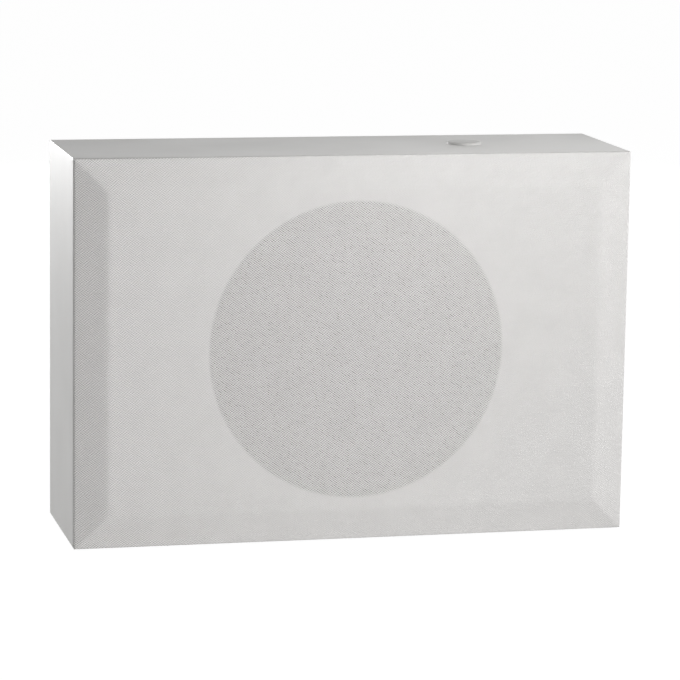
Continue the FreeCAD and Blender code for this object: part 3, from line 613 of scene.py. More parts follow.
@dataclass(frozen=True)
class ResinCloth(Finish):
    """Plain-woven cloth stiffened with resin.

    Attributes:
        pitch: Distance between yarns.
        relief: Depth of the gaps between them.
        gap_painted_shade: Share of light taken off the gaps between the yarns as painted shade.
        resin_pitch: Size of the resin's patches.
        resin_share: Largest share of the resin's tone.
        resin_dark: Share of light that the resin takes off.
        resin_gloss: How much less rough the cloth is with little resin in it.
    """

    pitch: float = 0.8 * MM
    relief: float = 0.1 * MM
    gap_painted_shade: float = 0.45
    resin_pitch: float = 5 * MM
    resin_share: float = 0.4
    resin_dark: float = 0.3
    resin_gloss: float = 0.15

    def detail(self, shading: Shading) -> None:
        """Weave as the product of two sine waves across X and Z, with painted shade in the gaps and resin
        in patches.
        """
        split = shading.node("ShaderNodeSeparateXYZ")
        shading.feed(split.inputs[0], shading.place)
        turn = 2.0 * math.pi / self.pitch
        across = shading.math("SINE", shading.math("MULTIPLY", split.outputs["X"], turn))
        along = shading.math("SINE", shading.math("MULTIPLY", split.outputs["Z"], turn))
        weave = shading.math("MULTIPLY", across, along)
        resin = shading.noise(self.resin_pitch, 3.0)
        # Painted shade: the gaps between the yarns are darker where the weave sinks.
        yarn = shading.mix(shading.span(weave, -0.6, 0.6, 0.0, 1.0), darker(self.colour, self.gap_painted_shade),
                           self.colour)
        shading.surface(
            Base_Color=shading.mix(shading.span(resin, 0.4, 0.7, 0.0, self.resin_share), yarn,
                                   darker(self.colour, self.resin_dark)),
            Roughness=shading.grade(resin, self.roughness - self.resin_gloss, self.roughness),
            Normal=shading.bump(weave, self.relief))


@dataclass(frozen=True)
class Winding(Finish):
    """Enamelled wire wound in close turns along Y.

    Attributes:
        pitch: Distance between turns.
        relief: Depth of the valleys between them.
        valley_painted_shade: Share of light taken off the valleys between turns as painted shade.
        drift_pitch: Size of the enamel's glossier patches.
        unevenness: How far the roughness strays to either side of its mean.
    """

    pitch: float = 0.5 * MM
    relief: float = 0.12 * MM
    valley_painted_shade: float = 0.6
    drift_pitch: float = 6 * MM
    unevenness: float = 0.05

    def detail(self, shading: Shading) -> None:
        """Turns as a sine wave along Y, with painted shade in the valleys."""
        split = shading.node("ShaderNodeSeparateXYZ")
        shading.feed(split.inputs[0], shading.place)
        turns = shading.math("SINE", shading.math("MULTIPLY", split.outputs["Y"],
                                                  2.0 * math.pi / self.pitch))
        # Painted shade: the colour darkens in the valleys between the turns.
        crests = shading.span(turns, -1.0, 0.2, 0.0, 1.0)
        drift = shading.noise(self.drift_pitch, 2.0)
        shading.surface(
            Base_Color=shading.mix(crests, darker(self.colour, self.valley_painted_shade), self.colour),
            Metallic=1.0,
            Roughness=shading.stray(drift, self.roughness, self.unevenness),
            Normal=shading.bump(turns, self.relief))


@dataclass(frozen=True)
class GrilleWeave(Finish):
    """Open woven cloth over a frame with a round opening, on the piece's own UV map in metres.

    Its holes stand in a staggered lattice. Where p counts half pitches across and q counts rows upwards,
    the lattice value is the mean of the falling wave cos(pi (p + q)) and the rising wave cos(pi (p - q)).
    It is 1 in a hole and -1 on a crossing of yarns. The cloth was pulled more along one diagonal, so the
    falling wave weighs more, by a share that drifts from patch to patch as the holes' contrast does.
    Outside the opening the cloth is opaque, and its colour stands for the yarn with the frame's white paint
    seen through the holes, in painted shade.

    Attributes:
        backed: Mean colour where the frame backs the cloth: yarn, and the frame's paint seen through it in
            painted shade.
        opening: Radius of the frame's opening, about the middle of the map.
        opening_edge: Width over which the frame starts to back the cloth.
        pitch_across: Half the distance between holes in a row.
        pitch_up: Distance between rows of holes.
        lean: How far the columns lean over for each metre upwards.
        climb: How far the rows climb for each metre across.
        hole_edge: Lattice value where a hole starts to open.
        hole_open: Lattice value where it is fully open.
        hole_mean: Mean over the lattice of how far the holes are open.
        clear: Mean share of light that the cloth lets through.
        contrast: Least and most difference of that share between yarn and hole.
        shade: Painted shade: share of light taken off a backed hole's colour at the left edge, for each
            share that it is open.
        shaded: Places across the map over which that painted shade fades from full to none.
        falling: Least and most weight of the falling wave.
        turned: How much less the falling wave weighs where the frame backs the cloth.
        patch: Size of the patches in which the yarns lie alike.
        relief: Depth of the holes below the yarns.
        fuzz: Weight of the soft edge light of the yarns.
        slub_pitch: Length over which the yarns grow thicker and thinner.
        slub_dark: Most light that they lose with it.
        fibre_pitch: Size of the fibres in a yarn.
        fibre_dark: Most light that is lost between the fibres.
    """

    # Painted shade: darker than yarn over white paint would be, for the shade that the cloth casts on the
    # frame behind it.
    backed: Colour = (0.66, 0.65, 0.64)
    opening: float = 121.6 * MM
    opening_edge: float = 3.4 * MM
    pitch_across: float = 1.288 * MM
    pitch_up: float = 1.026 * MM
    lean: float = 0.14
    climb: float = 0.012
    hole_edge: float = -0.4
    hole_open: float = 0.9
    hole_mean: float = 0.37
    clear: float = 0.235
    contrast: tuple[float, float] = (0.25, 0.8)
    shade: float = 1.0
    shaded: tuple[float, float] = (-250 * MM, 0.0)
    falling: tuple[float, float] = (0.45, 0.95)
    turned: float = 0.15
    patch: float = 5.0 * MM
    relief: float = 0.14 * MM
    fuzz: float = 0.1
    slub_pitch: float = 24 * MM
    slub_dark: float = 0.03
    fibre_pitch: float = 0.4 * MM
    fibre_dark: float = 0.045

    def lattice(self, shading: Shading, across: Socket, up: Socket, free: Socket) -> Socket:
        """Weighted mean of the two diagonal waves.

        Args:
            shading: Tree that gets the nodes.
            across: Place across the map.
            up: Place up the map.
            free: 1 inside the opening and 0 outside it.

        Returns:
            The lattice value.
        """
        p = shading.math("MULTIPLY_ADD", up, self.lean)
        shading.feed(p.node.inputs[2], across)
        q = shading.math("MULTIPLY_ADD", across, self.climb)
        shading.feed(q.node.inputs[2], up)
        turn_p = shading.math("MULTIPLY", p, math.pi / self.pitch_across)
        turn_q = shading.math("MULTIPLY", q, math.pi / self.pitch_up)
        wave_falling = shading.math("COSINE", shading.math("ADD", turn_p, turn_q))
        wave_rising = shading.math("COSINE", shading.math("SUBTRACT", turn_p, turn_q))
        drift = shading.grade(shading.noise(self.patch, 1.0), *self.falling)
        weight = shading.math("ADD", drift, shading.span(free, 0.0, 1.0, -self.turned, 0.0))
        more = shading.math("MULTIPLY", weight, shading.math("SUBTRACT", wave_falling, wave_rising))
        return shading.math("ADD", wave_rising, more)

    def paint(self, shading: Shading, shade: Socket) -> Socket:
        """Backed cloth in its shade: a mix from half as much light again to half the light.

        Args:
            shading: Tree that gets the nodes.
            shade: Painted shade, as a share of the mean light taken off, or added where it is below 0.

        Returns:
            The colour.
        """
        half = 0.5
        return shading.mix(shading.math("ADD", shade, half), darker(self.backed, -half),
                           darker(self.backed, half))

    def detail(self, shading: Shading) -> None:
        """Holes and relief from the lattice, yarn tone from noise, and the backing from the radius."""
        split = shading.node("ShaderNodeSeparateXYZ")
        shading.feed(split.inputs[0], shading.uv)
        across, up = split.outputs["X"], split.outputs["Y"]
        reach = shading.node("ShaderNodeVectorMath", operation="LENGTH")
        shading.feed(reach.inputs[0], shading.uv)
        free = shading.span(reach.outputs["Value"], self.opening, self.opening + self.opening_edge,
                            1.0, 0.0)
        lattice = self.lattice(shading, across, up, free)
        hole = shading.span(lattice, self.hole_edge, self.hole_open, -self.hole_mean, 1.0 - self.hole_mean)
        contrast = shading.grade(shading.noise(self.patch / 2, 1.0), *self.contrast)
        opened = shading.math("MULTIPLY", hole, contrast)
        through = shading.math("ADD", opened, self.clear)
        # Painted shade: backed holes are darkest at the left edge and not darkened from the middle on.
        shade = shading.math("MULTIPLY", opened, shading.span(across, *self.shaded, self.shade, 0.0))
        tone = shading.mix(free, self.paint(shading, shade), self.colour)
        slub = shading.grade(shading.noise(self.slub_pitch, 3.0), 0.0, self.slub_dark)
        fibre = shading.grade(shading.noise(self.fibre_pitch, 2.0), 0.0, self.fibre_dark)
        shading.surface(
            Base_Color=shading.mix(fibre, shading.mix(slub, tone, BLACK), BLACK),
            Roughness=self.roughness,
            Sheen_Weight=self.fuzz,
            Alpha=shading.math("SUBTRACT", 1.0, shading.math("MULTIPLY", free, through)),
            Normal=shading.bump(shading.span(lattice, -1.0, 1.0, 1.0, 0.0), self.relief))


FINISHES: dict[str, Finish] = {
    "cabinet_lacquer": Lacquer("cabinet_lacquer", (0.707, 0.70, 0.684), 0.4),
    "rear_lacquer": Lacquer("rear_lacquer", (0.667, 0.66, 0.645), 0.48, 0.05, 1.2 * MM, 0.03 * MM),
    "baffle_black": FibreBoard("baffle_black", (0.028, 0.028, 0.029), 0.6, 0.4),
    "bare_board": FibreBoard("bare_board", (0.45, 0.31, 0.19), 0.8),
    "polyester_wool": Felt("polyester_wool", (0.82, 0.82, 0.80), 0.95, 6 * MM, 1.2 * MM, 0.6),
    "cap_plastic": Moulding("cap_plastic", (0.62, 0.615, 0.60), 0.52),
    "foot_rubber": Rubber("foot_rubber", (0.22, 0.22, 0.225), 0.7, (0.34, 0.34, 0.34)),
    "grille_board": FibreBoard("grille_board", (0.838, 0.83, 0.812), 0.7, 0.06),
    "grille_cloth": GrilleWeave("grille_cloth", (0.728, 0.72, 0.705), 0.85),
    "magnet_nickel": Metal("magnet_nickel", (0.72, 0.71, 0.68), 0.22),
    "zinc_steel": Metal("zinc_steel", (0.60, 0.60, 0.58), 0.34, MetalSurface.BRUSHED),
    "cone_paper": PressedPaper("cone_paper", (0.030, 0.030, 0.032), 0.72),
    "coil_foil": Metal("coil_foil", (0.75, 0.75, 0.76), 0.3, MetalSurface.DRAWN),
    "coil_copper": Winding("coil_copper", (0.72, 0.33, 0.16), 0.3),
    "surround_rubber": Rubber("surround_rubber", (0.018, 0.018, 0.019), 0.46, (0.05, 0.05, 0.05)),
    "spider_cloth": ResinCloth("spider_cloth", (0.52, 0.34, 0.13), 0.8),
    "trim_rubber": Moulding("trim_rubber", (0.022, 0.022, 0.022), 0.55, 0.5 * MM, 0.03 * MM),
    "seal_foam": Felt("seal_foam", (0.04, 0.04, 0.04), 0.95, 0.8 * MM, 0.2 * MM, 0.1),
    "cast_aluminium": Metal("cast_aluminium", (0.045, 0.045, 0.046), 0.5, MetalSurface.CAST, 0.0),
    "black_steel": Metal("black_steel", (0.035, 0.035, 0.036), 0.38, MetalSurface.PLATED, 0.6),
    "ferrite": Metal("ferrite", (0.075, 0.075, 0.078), 0.62, MetalSurface.CAST, 0.0),
    "phenolic_board": FibreBoard("phenolic_board", (0.26, 0.13, 0.06), 0.5),
    "tab_brass": Metal("tab_brass", (0.76, 0.58, 0.27), 0.28, MetalSurface.BRUSHED),
    "sleeve_vinyl": Moulding("sleeve_vinyl", (0.06, 0.14, 0.42), 0.32),
    "tinned_copper": Metal("tinned_copper", (0.72, 0.70, 0.66), 0.32, MetalSurface.DRAWN),
    "lead_red": Moulding("lead_red", (0.50, 0.025, 0.02), 0.4),
    "lead_black": Moulding("lead_black", (0.02, 0.02, 0.02), 0.4),
    "cup_plastic": Moulding("cup_plastic", (0.032, 0.032, 0.033), 0.5, 0.6 * MM, 0.04 * MM),
    "post_gold": Metal("post_gold", (0.85, 0.62, 0.24), 0.18),
    "nut_red": Moulding("nut_red", (0.48, 0.015, 0.015), 0.26),
    "nut_black": Moulding("nut_black", (0.02, 0.02, 0.02), 0.26),
}


class Wardrobe:
    """Builds each finish once and puts it on the solids that the record gives it to."""

    def __init__(self) -> None:
        """Builds every finish."""
        self.materials: dict[str, Material] = {slot: finish.make() for slot, finish in FINISHES.items()}

    def dress_solids(self) -> None:
        """Gives each solid the finish of its own slot in the record."""
        for row in frame["record"]["subparts"]:
            solid = frame["nodes"][row["node"]]
            material = self.materials[row["material_slot"]]
            if not solid.material_slots:
                solid.data.materials.append(material)
            for slot in solid.material_slots:
                slot.material = material
            LOG.info("%s wears %s", row["node"], row["material_slot"])


# Grille


@dataclass
class Grille:
    """Cloth stretched over a bevelled frame and turned in behind it.

    Attributes:
        wardrobe: Finishes.
        rim_depth: Depth of the cloth's upright edge.
        bevel_run: Width of the bevel along each side.
        soft_radius: Radius of the break between bevel and front.
        mitre_width: Width over which the cloth rounds the ridge of a mitre.
        edge_radius: Radius of the cloth round the frame's edges.
        turn_in: Width that is turned in behind the frame.
        fine: Spacing of the grid over the bevels.
        fine_past: How far that grid runs on past them.
        coarse: Spacing of the grid over the flat front.
        lie: Distance of the cloth's face behind the outer face of its solid.
        arc_points: Points round each of the edges.
        turn_points: Points across what is turned in.
    """

    wardrobe: Wardrobe
    rim_depth: float = 3.9 * MM
    bevel_run: float = 26.8 * MM
    soft_radius: float = 22.0 * MM
    mitre_width: float = 1.6 * MM
    edge_radius: float = 0.45 * MM
    turn_in: float = 7.5 * MM
    fine: float = 1.0 * MM
    fine_past: float = 6.0 * MM
    coarse: float = 4.0 * MM
    lie: float = 0.35 * MM
    arc_points: int = 5
    turn_points: int = 4

    def build(self) -> Piece:
        """Makes the cloth, which stands for the solid of the same name.

        Returns:
            The cloth.
        """
        low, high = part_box("grille_cloth")
        self.centre = (low + high) / 2
        self.half = Vector(((high.x - low.x) / 2, 0.0, (high.z - low.z) / 2))
        self.front = low.y
        self.edge_front = high.y - self.rim_depth
        self.back = high.y
        x, z = self.lines(self.half.x), self.lines(self.half.z)
        points, uv = self.face(x, z)
        loop = self.loop(len(z), len(x))
        rim_points, rim_uv = self.rim(points[loop], uv[loop])
        rows = len(rim_points) // len(loop)
        ring = np.concatenate([loop, len(points) + np.arange(rows * len(loop))])
        faces = np.concatenate([quads(len(z), len(x)),
                                ring[quads(rows + 1, len(loop), wrap_columns=True)][:, [0, 3, 2, 1]]])
        cloth = new_piece("stretched_cloth", np.concatenate([points, rim_points]), [faces],
                          self.wardrobe.materials["grille_cloth"], np.concatenate([uv, rim_uv]))
        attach(cloth, "grille")
        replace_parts(cloth, "grille_cloth")
        cut = rim_uv.max(axis=0) - rim_uv.min(axis=0)
        self.flat = (float(cut[0]), float(cut[1]))
        LOG.info("stretched_cloth cut %.0f by %.0f mm", self.flat[0] / MM, self.flat[1] / MM)
        return cloth

    def lines(self, half: float) -> Array:
        """Places of grid lines across the face, close over the bevels and wide between them.

        Args:
            half: Half of the cloth's outer size.

        Returns:
            Places from one edge to the other.
        """
        reach = half - self.edge_radius
        close = np.arange(0.0, self.bevel_run + self.fine_past, self.fine)
        wide = np.linspace(close[-1] + self.fine, reach, int((reach - close[-1]) / self.coarse))
        side = np.concatenate([close, wide]) - reach
        return np.concatenate([side, -side[-2::-1]])

    def rise(self, inset: Array) -> Array:
        """Height of the face above its edge: the lesser of bevel slope and front, with a round break.

        Args:
            inset: Distance in from the outer edge.

        Returns:
            Height towards the front.
        """
        full = self.edge_front - self.front
        slope = full / self.bevel_run
        return soft_least(slope * inset, np.full_like(inset, full), self.soft_radius * slope ** 2 / 2)

    def lengths(self, places: Array, half: float) -> Array:
        """Length along the cloth from its middle to each grid line, over the bevels.

        Args:
            places: Places of the grid lines.
            half: Half of the cloth's outer size.

        Returns:
            Signed lengths.
        """
        height = self.rise(half - np.abs(places))
        run = np.concatenate([[0.0], np.cumsum(np.hypot(np.diff(places), np.diff(height)))])
        return run - run[-1] / 2

    def face(self, x: Array, z: Array) -> tuple[Array, Array]:
        """Bevelled face: its height is the rise at the softened least of the distances to the four edges.

        Args:
            x: Grid lines across.
            z: Grid lines upwards.

        Returns:
            Points and their lengths along the cloth.
        """
        across, up = np.meshgrid(x, z)
        inset = soft_least(self.half.x - np.abs(across), self.half.z - np.abs(up), self.mitre_width)
        depth = self.edge_front + self.lie - self.rise(inset)
        u, v = np.meshgrid(self.lengths(x, self.half.x), self.lengths(z, self.half.z))
        points = np.stack([self.centre.x + across, depth, self.centre.z + up], axis=-1)
        return points.reshape(-1, 3), np.stack([u, v], axis=-1).reshape(-1, 2)

    @staticmethod
    def loop(rows: int, columns: int) -> Array:
        """Numbers of the face's outer points, once round from the lower left corner along the bottom.

        Args:
            rows: Rows of the face's grid.
            columns: Columns of the face's grid.

        Returns:
            Point numbers in order.
        """
        number = np.arange(rows * columns).reshape(rows, columns)
        return np.concatenate([number[0, :-1], number[:-1, -1], number[-1, :0:-1], number[:0:-1, 0]])

    def rim(self, points: Array, uv: Array) -> tuple[Array, Array]:
        """Carries the edge's profile round the loop: over the edge, back, and in behind the frame.

        Each row is the loop scaled about the middle, so that the corners stay mitred.

        Args:
            points: Points of the loop.
            uv: Lengths along the cloth there.

        Returns:
            Points of all new rows and their lengths along the cloth.
        """
        tilt = math.atan((self.edge_front - self.front) / self.bevel_run)
        r = self.edge_radius
        over = np.linspace(tilt, math.pi / 2, self.arc_points)[1:]
        behind = np.linspace(math.pi / 2, math.pi, self.arc_points)
        inwards = np.linspace(r, self.turn_in, self.turn_points)[1:]
        start = points[0, 1]
        out = np.concatenate([r * np.sin(over) - r * math.sin(tilt),
                              r * np.sin(behind) - r * math.sin(tilt),
                              -inwards])
        deep = np.concatenate([start + r * (math.cos(tilt) - np.cos(over)),
                               self.back - r - r * np.cos(behind),
                               np.full(len(inwards), self.back)])
        before = np.concatenate([[0.0], out])
        step = np.hypot(np.diff(before), np.diff(np.concatenate([[start], deep])))
        length = np.cumsum(step)
        middle = np.array([self.centre.x, self.centre.z])
        flat = points[:, [0, 2]] - middle
        reach = np.abs(flat).max(axis=0)
        spread = np.abs(uv).max(axis=0)
        place = flat * (1.0 + out[:, None, None] / reach) + middle
        level = np.broadcast_to(deep[:, None], place.shape[:2])
        rows = np.stack([place[..., 0], level, place[..., 1]], axis=-1)
        lengths = uv * (1.0 + length[:, None, None] / spread)
        return rows.reshape(-1, 3), lengths.reshape(-1, 2)


# Driver


@dataclass
class Driver:
    """Soft parts of the driver, between the basket and the moving cone.

    Depths run back from the baffle's front face, and radii out from the cone's axis.

    Attributes:
        wardrobe: Finishes.
        segments: Points once round a ring.
        roll_middle: Radius of the surround's crest.
        roll_radius: Radius of its half roll to the middle of the rubber.
        roll_points: Points over the roll.
        rubber: Thickness of the rubber.
        lip_radius: Outer radius of its glued lip.
        rim_radius: Inner radius of its lip on the cone.
        glue_depth: Depth of the lip's back face.
        spider_collar: Width of the flat ring that is glued to the coil's former.
        spider_inner: Radius where the spider's waves start.
        spider_outer: Radius where they end.
        spider_waves: Number of waves.
        spider_height: Height of a wave to either side.
        spider_yarn: Thickness of the spider.
        spider_points: Points across the spider.
        lead_radius: Radius of a tinsel lead.
        lead_steps: Sections along a lead.
        lead_sides: Points once round a lead.
        lead_strands: Strands of its braid that show.
        lead_twists: Turns of the braid along a lead.
        lead_swell: Share of the radius that the strands swell by.
        lead_ease: Power that eases the lead's bend.
    """

    wardrobe: Wardrobe
    segments: int = 192
    roll_middle: float = 101.0 * MM
    roll_radius: float = 8.0 * MM
    roll_points: int = 33
    rubber: float = 1.0 * MM
    lip_radius: float = 117.6 * MM
    rim_radius: float = 86.0 * MM
    glue_depth: float = 2.0 * MM
    spider_collar: float = 4.5 * MM
    spider_inner: float = 30.0 * MM
    spider_outer: float = 63.0 * MM
    spider_waves: int = 4
    spider_height: float = 1.0 * MM
    spider_yarn: float = 0.8 * MM
    spider_points: int = 120
    lead_radius: float = 0.7 * MM
    lead_steps: int = 72
    lead_sides: int = 20
    lead_strands: int = 4
    lead_twists: float = 9.0
    lead_swell: float = 0.1
    lead_ease: float = 1.1

    def build(self) -> None:
        """Makes the surround, the spider and the tinsel leads."""
        low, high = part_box("cone")
        self.axis = ((low.x + high.x) / 2, (low.z + high.z) / 2)
        self.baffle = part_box("front_baffle")[0].y
        self.build_surround()
        self.build_spider()
        self.build_leads()

    def turned(self, name: str, radius: Array, depth: Array, slot: str, inner: float,
               outer: float) -> Piece:
        """Closed profile carried round the axis.

        Args:
            name: Name of the piece.
            radius: Radii of the profile's points, in order round it.
            depth: Their depths.
            slot: Slot of the finish.
            inner: Radius that is only logged with the ring's name.
            outer: Not used.

        Returns:
            The ring.
        """
        angle = np.linspace(0.0, 2.0 * math.pi, self.segments, endpoint=False)[:, None]
        x = self.axis[0] + radius * np.cos(angle)
        z = self.axis[1] + radius * np.sin(angle)
        y = np.broadcast_to(self.baffle + depth, x.shape)
        points = np.stack([x, y, z], axis=-1).reshape(-1, 3)
        faces = quads(self.segments, len(radius), wrap_rows=True, wrap_columns=True)[:, ::-1]
        ring = new_piece(name, points, [faces], self.wardrobe.materials[slot])
        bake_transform(ring)
        LOG.info("%s follows the cone within %.0f mm", name, inner / MM)
        return ring

    def build_surround(self) -> Piece:
        """Half roll: a circle's front half about the crest radius, with flat lips on both sides.

        Returns:
            The surround.
        """
        half = self.rubber / 2
        turn = np.linspace(0.0, math.pi, self.roll_points)
        outer = self.roll_radius + half
        inner = self.roll_radius - half
        free = self.glue_depth - self.rubber
        rise = outer - self.rubber
        ends = np.array([self.rim_radius, self.rim_radius])
        radius = np.concatenate([[self.lip_radius], self.roll_middle + outer * np.cos(turn), ends,
                                 self.roll_middle - inner * np.cos(turn), [self.lip_radius]])
        depth = np.concatenate([[free], free - rise * np.sin(turn), [free, self.glue_depth],
                                self.glue_depth - inner * np.sin(turn), [self.glue_depth]])
        ring = self.turned("surround_roll", radius, depth, "surround_rubber",
                           self.roll_middle - self.roll_radius, self.roll_middle + self.roll_radius)
        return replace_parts(ring, "surround")

    def build_spider(self) -> Piece:
        """Corrugated ring: its depth swings as a sine of the radius between two flats.

        Returns:
            The spider.
        """
        low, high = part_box("spider")
        edge = (high.x - low.x) / 2
        bore = self.spider_inner - self.spider_collar
        front = (low.y + high.y - self.spider_yarn) / 2 - self.baffle
        radius = np.linspace(bore, edge, self.spider_points)
        share = np.clip((radius - self.spider_inner) / (self.spider_outer - self.spider_inner), 0.0, 1.0)
        swing = -self.spider_height * np.sin(2.0 * math.pi * self.spider_waves * share)
        ring = self.turned("spider_waves", np.concatenate([radius[::-1], radius]),
                           np.concatenate([(front + swing)[::-1], front + swing + self.spider_yarn]),
                           "spider_cloth", self.spider_inner, self.spider_outer)
        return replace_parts(ring, "spider")

    def build_leads(self) -> Piece:
        """Two braided leads from the fixed tabs to the back of the cone, in one piece.

        The middle line turns as a quarter of a sine from straight forwards to its slope at the cone. The
        section's radius swells and sinks with the strands, whose crests wind along it.

        Returns:
            The leads.
        """
        low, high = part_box("tinsel_leads")
        share = np.linspace(0.0, 1.0, self.lead_steps)
        reach = high.y - low.y - self.lead_radius
        lift = high.z - low.z - 2 * self.lead_radius
        bend = share * math.pi / 2
        line_y = high.y - reach * np.sin(bend) ** self.lead_ease
        line_z = low.z + self.lead_radius + lift * (1.0 - np.cos(bend)) ** self.lead_ease
        along = np.stack([np.gradient(line_y), np.gradient(line_z)], axis=-1)
        along /= np.linalg.norm(along, axis=1, keepdims=True)
        angle = np.linspace(0.0, 2.0 * math.pi, self.lead_sides, endpoint=False)[None, :]
        braid = np.cos(self.lead_strands * angle - 2.0 * math.pi * self.lead_twists * share[:, None])
        radius = self.lead_radius * (1.0 - self.lead_swell + self.lead_swell * braid)
        over = radius * np.sin(angle)
        tube = np.stack([radius * np.cos(angle), line_y[:, None] - over * along[:, 1:2],
                         line_z[:, None] + over * along[:, 0:1]], axis=-1).reshape(-1, 3)
        ends = np.stack([np.zeros(2), line_y[[0, -1]], line_z[[0, -1]]], axis=-1)
        lead = np.concatenate([tube, ends])
        lead_x = np.array([(high.x - low.x) / 2 - self.lead_radius, 0.0, 0.0])
        sides = quads(self.lead_steps, self.lead_sides, wrap_columns=True)[:, ::-1]
        caps = tips(self.lead_steps, self.lead_sides)[:, ::-1]
        leads = new_piece("tinsel_braids", np.concatenate([lead - lead_x, lead + lead_x]),
                          [sides, sides + len(lead), caps, caps + len(lead)],
                          self.wardrobe.materials["tinned_copper"])
        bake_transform(leads)
        LOG.info("tinsel_braids run from the tabs to the cone")
        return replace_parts(leads, "tinsel_leads")


# Cabinet


@dataclass
class Wadding:
    """Pads of polyester wool that fill the ends of the cabinet.

    Attributes:
        wardrobe: Finishes.
        squareness: Power of the superellipsoid, where 2 is an ellipsoid and more is boxier.
        lump_depth: Depth of the hollows between the lumps.
        rows: Grid lines from end to end, without the poles.
        columns: Grid lines once round.
    """

    wardrobe: Wardrobe
    squareness: float = 7.0
    lump_depth: float = 2.4 * MM
    rows: int = 90
    columns: int = 120

    def build(self, node: str) -> Piece:
        """Makes one pad in the room of its solid.

        Args:
            node: Solid that the pad stands for.

        Returns:
            The pad.
        """
        low, high = (np.array(corner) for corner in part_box(node))
        polar = np.linspace(0.0, math.pi, self.rows + 2)[:, None]
        turn = np.linspace(0.0, 2.0 * math.pi, self.columns, endpoint=False)[None, :]
        skin = self.skin(polar[1:-1], turn, low, high)
        poles = self.skin(polar[[0, -1]], turn[:, :1], low, high)
        sides = quads(self.rows, self.columns, wrap_columns=True)[:, ::-1]
        caps = tips(self.rows, self.columns)[:, ::-1]
        pad = new_piece(node + "_pad", np.concatenate([skin, poles]), [sides, caps],
                        self.wardrobe.materials["polyester_wool"])
        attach(pad, "cabinet")
        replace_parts(pad, node)
        LOG.info("%s fills the room of %s", pad.name, node)
        return pad

    def skin(self, polar: Array, turn: Array, low: Array, high: Array) -> Array:
        """Points of a superellipsoid in a box, where slow sine waves sink its surface in places.

        Args:
            polar: Angles from one pole to the other, in a column.
            turn: Angles round the pad, in a row.
            low: Lowest corner of the box.
            high: Highest corner of the box.

        Returns:
            One row of x, y and z for each point.
        """
        ball = np.stack(np.broadcast_arrays(np.sin(polar) * np.cos(turn), np.sin(polar) * np.sin(turn),
                                            np.cos(polar)), axis=-1)
        power = (np.abs(ball) ** self.squareness).sum(axis=-1, keepdims=True)
        unit = ball / power ** (1.0 / self.squareness)
        x, y, z = np.moveaxis(unit, -1, 0)
        # Three waves of unlike length, so their sum lies between -3 and 3 and doesn't repeat along the pad.
        lumps = np.sin(9.0 * x + 12.0 * z) + np.sin(7.0 * y - 11.0 * z) + np.sin(5.0 * x * y + 23.0 * z)
        sunk = self.lump_depth * (3.0 + lumps[..., None]) / 6.0
        return ((low + high) / 2 + unit * ((high - low) / 2 - sunk)).reshape(-1, 3)


# Studio


@dataclass(frozen=True)
class Lamp:
    """Soft rectangular lamp.

    Attributes:
        name: Name of the lamp.
        place: Its middle.
        aim: Point that it faces.
        width: Its width.
        height: Its height.
        power: Its power in watts.
    """

    name: str
    place: Point
    aim: Point
    width: float
    height: float
    power: float

    def build(self) -> Piece:
        """Puts the lamp in the scene."""
        light = bpy.data.lights.new(self.name, "AREA")
        light.shape = "RECTANGLE"
        light.size, light.size_y = self.width, self.height
        light.energy = self.power
        lamp = bpy.data.objects.new(self.name, light)
        lamp.location = self.place
        lamp.rotation_euler = (Vector(self.aim) - Vector(self.place)).to_track_quat("-Z", "Y").to_euler()
        lamp.visible_camera = False
        bpy.context.scene.collection.objects.link(lamp)
        return lamp


LAMPS = (
    Lamp("right_side", (2.12, -1.1, 0.8), (0.0, -0.06, 0.16), 1.2, 1.2, 32.0),
    Lamp("near_high", (0.145, -0.45, 0.75), (0.085, -0.06, 0.2), 0.35, 0.3, 0.755),
    Lamp("near_top_edge", (0.115, -0.3, 0.55), (0.055, -0.06, 0.16), 0.3, 0.2, 0.435),
    Lamp("front_strip", (0.0, -0.9, 0.04), (0.0, -0.06, 0.16), 0.8, 0.06, 3.0),
    Lamp("rear_left", (-0.9, 2.2, 0.45), (-0.2, 0.0, 0.25), 1.2, 0.7, 27.2),
    Lamp("rear_far_left", (-1.3, 2.0, 0.5), (-0.2, 0.0, 0.25), 1.0, 0.6, 10.0),
    Lamp("rear_right", (1.4, 2.2, 0.35), (0.1, 0.0, 0.2), 1.2, 0.6, 2.0),
)


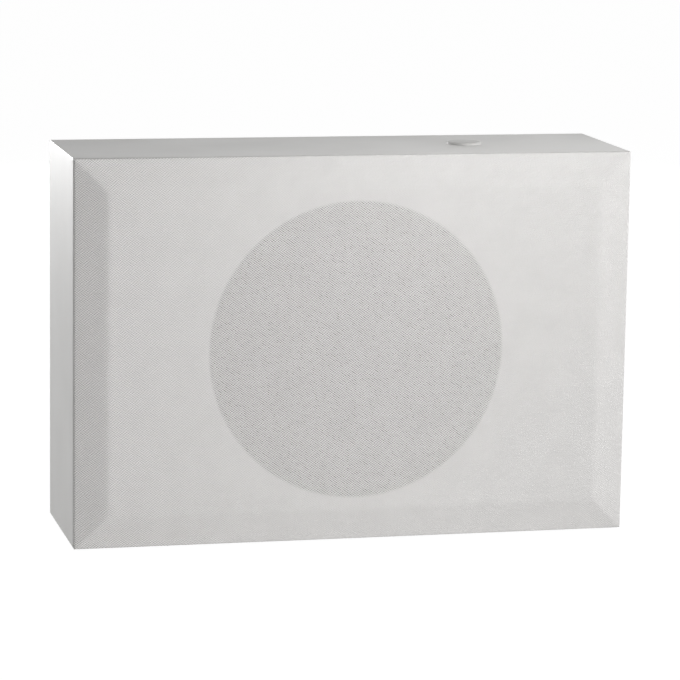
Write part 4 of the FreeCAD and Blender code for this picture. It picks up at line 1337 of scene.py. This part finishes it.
@dataclass
class Studio:
    """Pale floor, white surroundings, soft lamps and the camera.

    Attributes:
        floor_half: Half of the floor's size.
        floor_colour: Colour of the floor under the lamps.
        floor_white: Share of plain white in the floor that the camera sees.
        white: Strength of that white.
        ambient: Strength of the light from all round.
        camera_place: Place of the camera.
        camera_way: Direction that it looks in.
        camera_up: Direction of its upper edge.
        lens: Focal length in millimetres.
        sensor: Width of the sensor in millimetres.
    """

    floor_half: float = 8.0
    floor_colour: Colour = (0.80, 0.80, 0.80)
    floor_white: float = 0.85
    white: float = 1.15
    ambient: float = 0.088
    camera_place: Point = (-0.6279, -2.6352, 0.6363)
    camera_way: Point = (0.22905, 0.95777, -0.1738)
    camera_up: Point = (0.0259, 0.1724, 0.9847)
    lens: float = 173.34
    sensor: float = 36.0

    def build(self) -> None:
        """Sets up the floor, the world, the lamps and the camera."""
        bpy.context.scene.view_settings.view_transform = "Standard"
        self.build_floor()
        self.build_world()
        for lamp in LAMPS:
            lamp.build()
        self.build_camera()

    @staticmethod
    def seen(tree: bpy.types.NodeTree) -> Socket:
        """Value of 1 for rays from the camera, from gloss and through glass, and of 0 for the rest.

        Args:
            tree: Node tree that gets the nodes.

        Returns:
            The value.
        """
        path = tree.nodes.new("ShaderNodeLightPath")
        total = path.outputs["Is Camera Ray"]
        for name in ("Is Glossy Ray", "Is Transmission Ray"):
            most = tree.nodes.new("ShaderNodeMath")
            most.operation = "MAXIMUM"
            tree.links.new(total, most.inputs[0])
            tree.links.new(path.outputs[name], most.inputs[1])
            total = most.outputs[0]
        return total

    def build_floor(self) -> None:
        """Flat floor whose white keeps a soft share of the object's shadow."""
        material = bpy.data.materials.new("studio_floor")
        material.use_nodes = True
        tree = material.node_tree
        tree.nodes.clear()
        paint = tree.nodes.new("ShaderNodeBsdfDiffuse")
        paint.inputs["Color"].default_value = (*self.floor_colour, 1.0)
        glow = tree.nodes.new("ShaderNodeEmission")
        glow.inputs["Strength"].default_value = self.white
        share = tree.nodes.new("ShaderNodeMath")
        share.operation = "MULTIPLY"
        share.inputs[1].default_value = self.floor_white
        tree.links.new(self.seen(tree), share.inputs[0])
        both = tree.nodes.new("ShaderNodeMixShader")
        tree.links.new(share.outputs[0], both.inputs[0])
        tree.links.new(paint.outputs[0], both.inputs[1])
        tree.links.new(glow.outputs[0], both.inputs[2])
        output = tree.nodes.new("ShaderNodeOutputMaterial")
        tree.links.new(both.outputs[0], output.inputs["Surface"])
        line = np.linspace(-self.floor_half, self.floor_half, 3)
        x, y = np.meshgrid(line, line)
        points = np.stack([x, y, np.zeros_like(x)], axis=-1).reshape(-1, 3)
        new_piece("floor", points, [quads(3, 3)], material)

    def build_world(self) -> None:
        """World that is white where it is seen, and a soft grey light elsewhere."""
        world = bpy.data.worlds.new("studio")
        world.use_nodes = True
        tree = world.node_tree
        back = tree.nodes["Background"]
        back.inputs["Color"].default_value = (1.0, 1.0, 1.0, 1.0)
        strength = tree.nodes.new("ShaderNodeMapRange")
        tree.links.new(self.seen(tree), strength.inputs["Value"])
        strength.inputs["To Min"].default_value = self.ambient
        strength.inputs["To Max"].default_value = 1.0
        tree.links.new(strength.outputs["Result"], back.inputs["Strength"])
        bpy.context.scene.world = world

    def build_camera(self) -> None:
        """Camera at the photograph's place and angle."""
        data = bpy.data.cameras.new("camera")
        data.lens = self.lens
        data.sensor_width = self.sensor
        data.clip_end = 100.0
        camera = bpy.data.objects.new("camera", data)
        way = Vector(self.camera_way).normalized()
        right = way.cross(Vector(self.camera_up)).normalized()
        up = right.cross(way)
        turn = Matrix((right, up, -way)).transposed().to_4x4()
        camera.matrix_world = Matrix.Translation(Vector(self.camera_place)) @ turn
        bpy.context.scene.collection.objects.link(camera)
        bpy.context.scene.camera = camera


def main() -> None:
    """Builds the sub-assemblies in order, dresses the solids and sets up the studio."""
    logging.basicConfig(level=logging.INFO, format="%(message)s")
    wardrobe = Wardrobe()
    wardrobe.dress_solids()
    Grille(wardrobe).build()
    Driver(wardrobe).build()
    for node in ("left_wadding", "right_wadding"):
        Wadding(wardrobe).build(node)
    Studio().build()


if __name__ == "__main__":
    main()
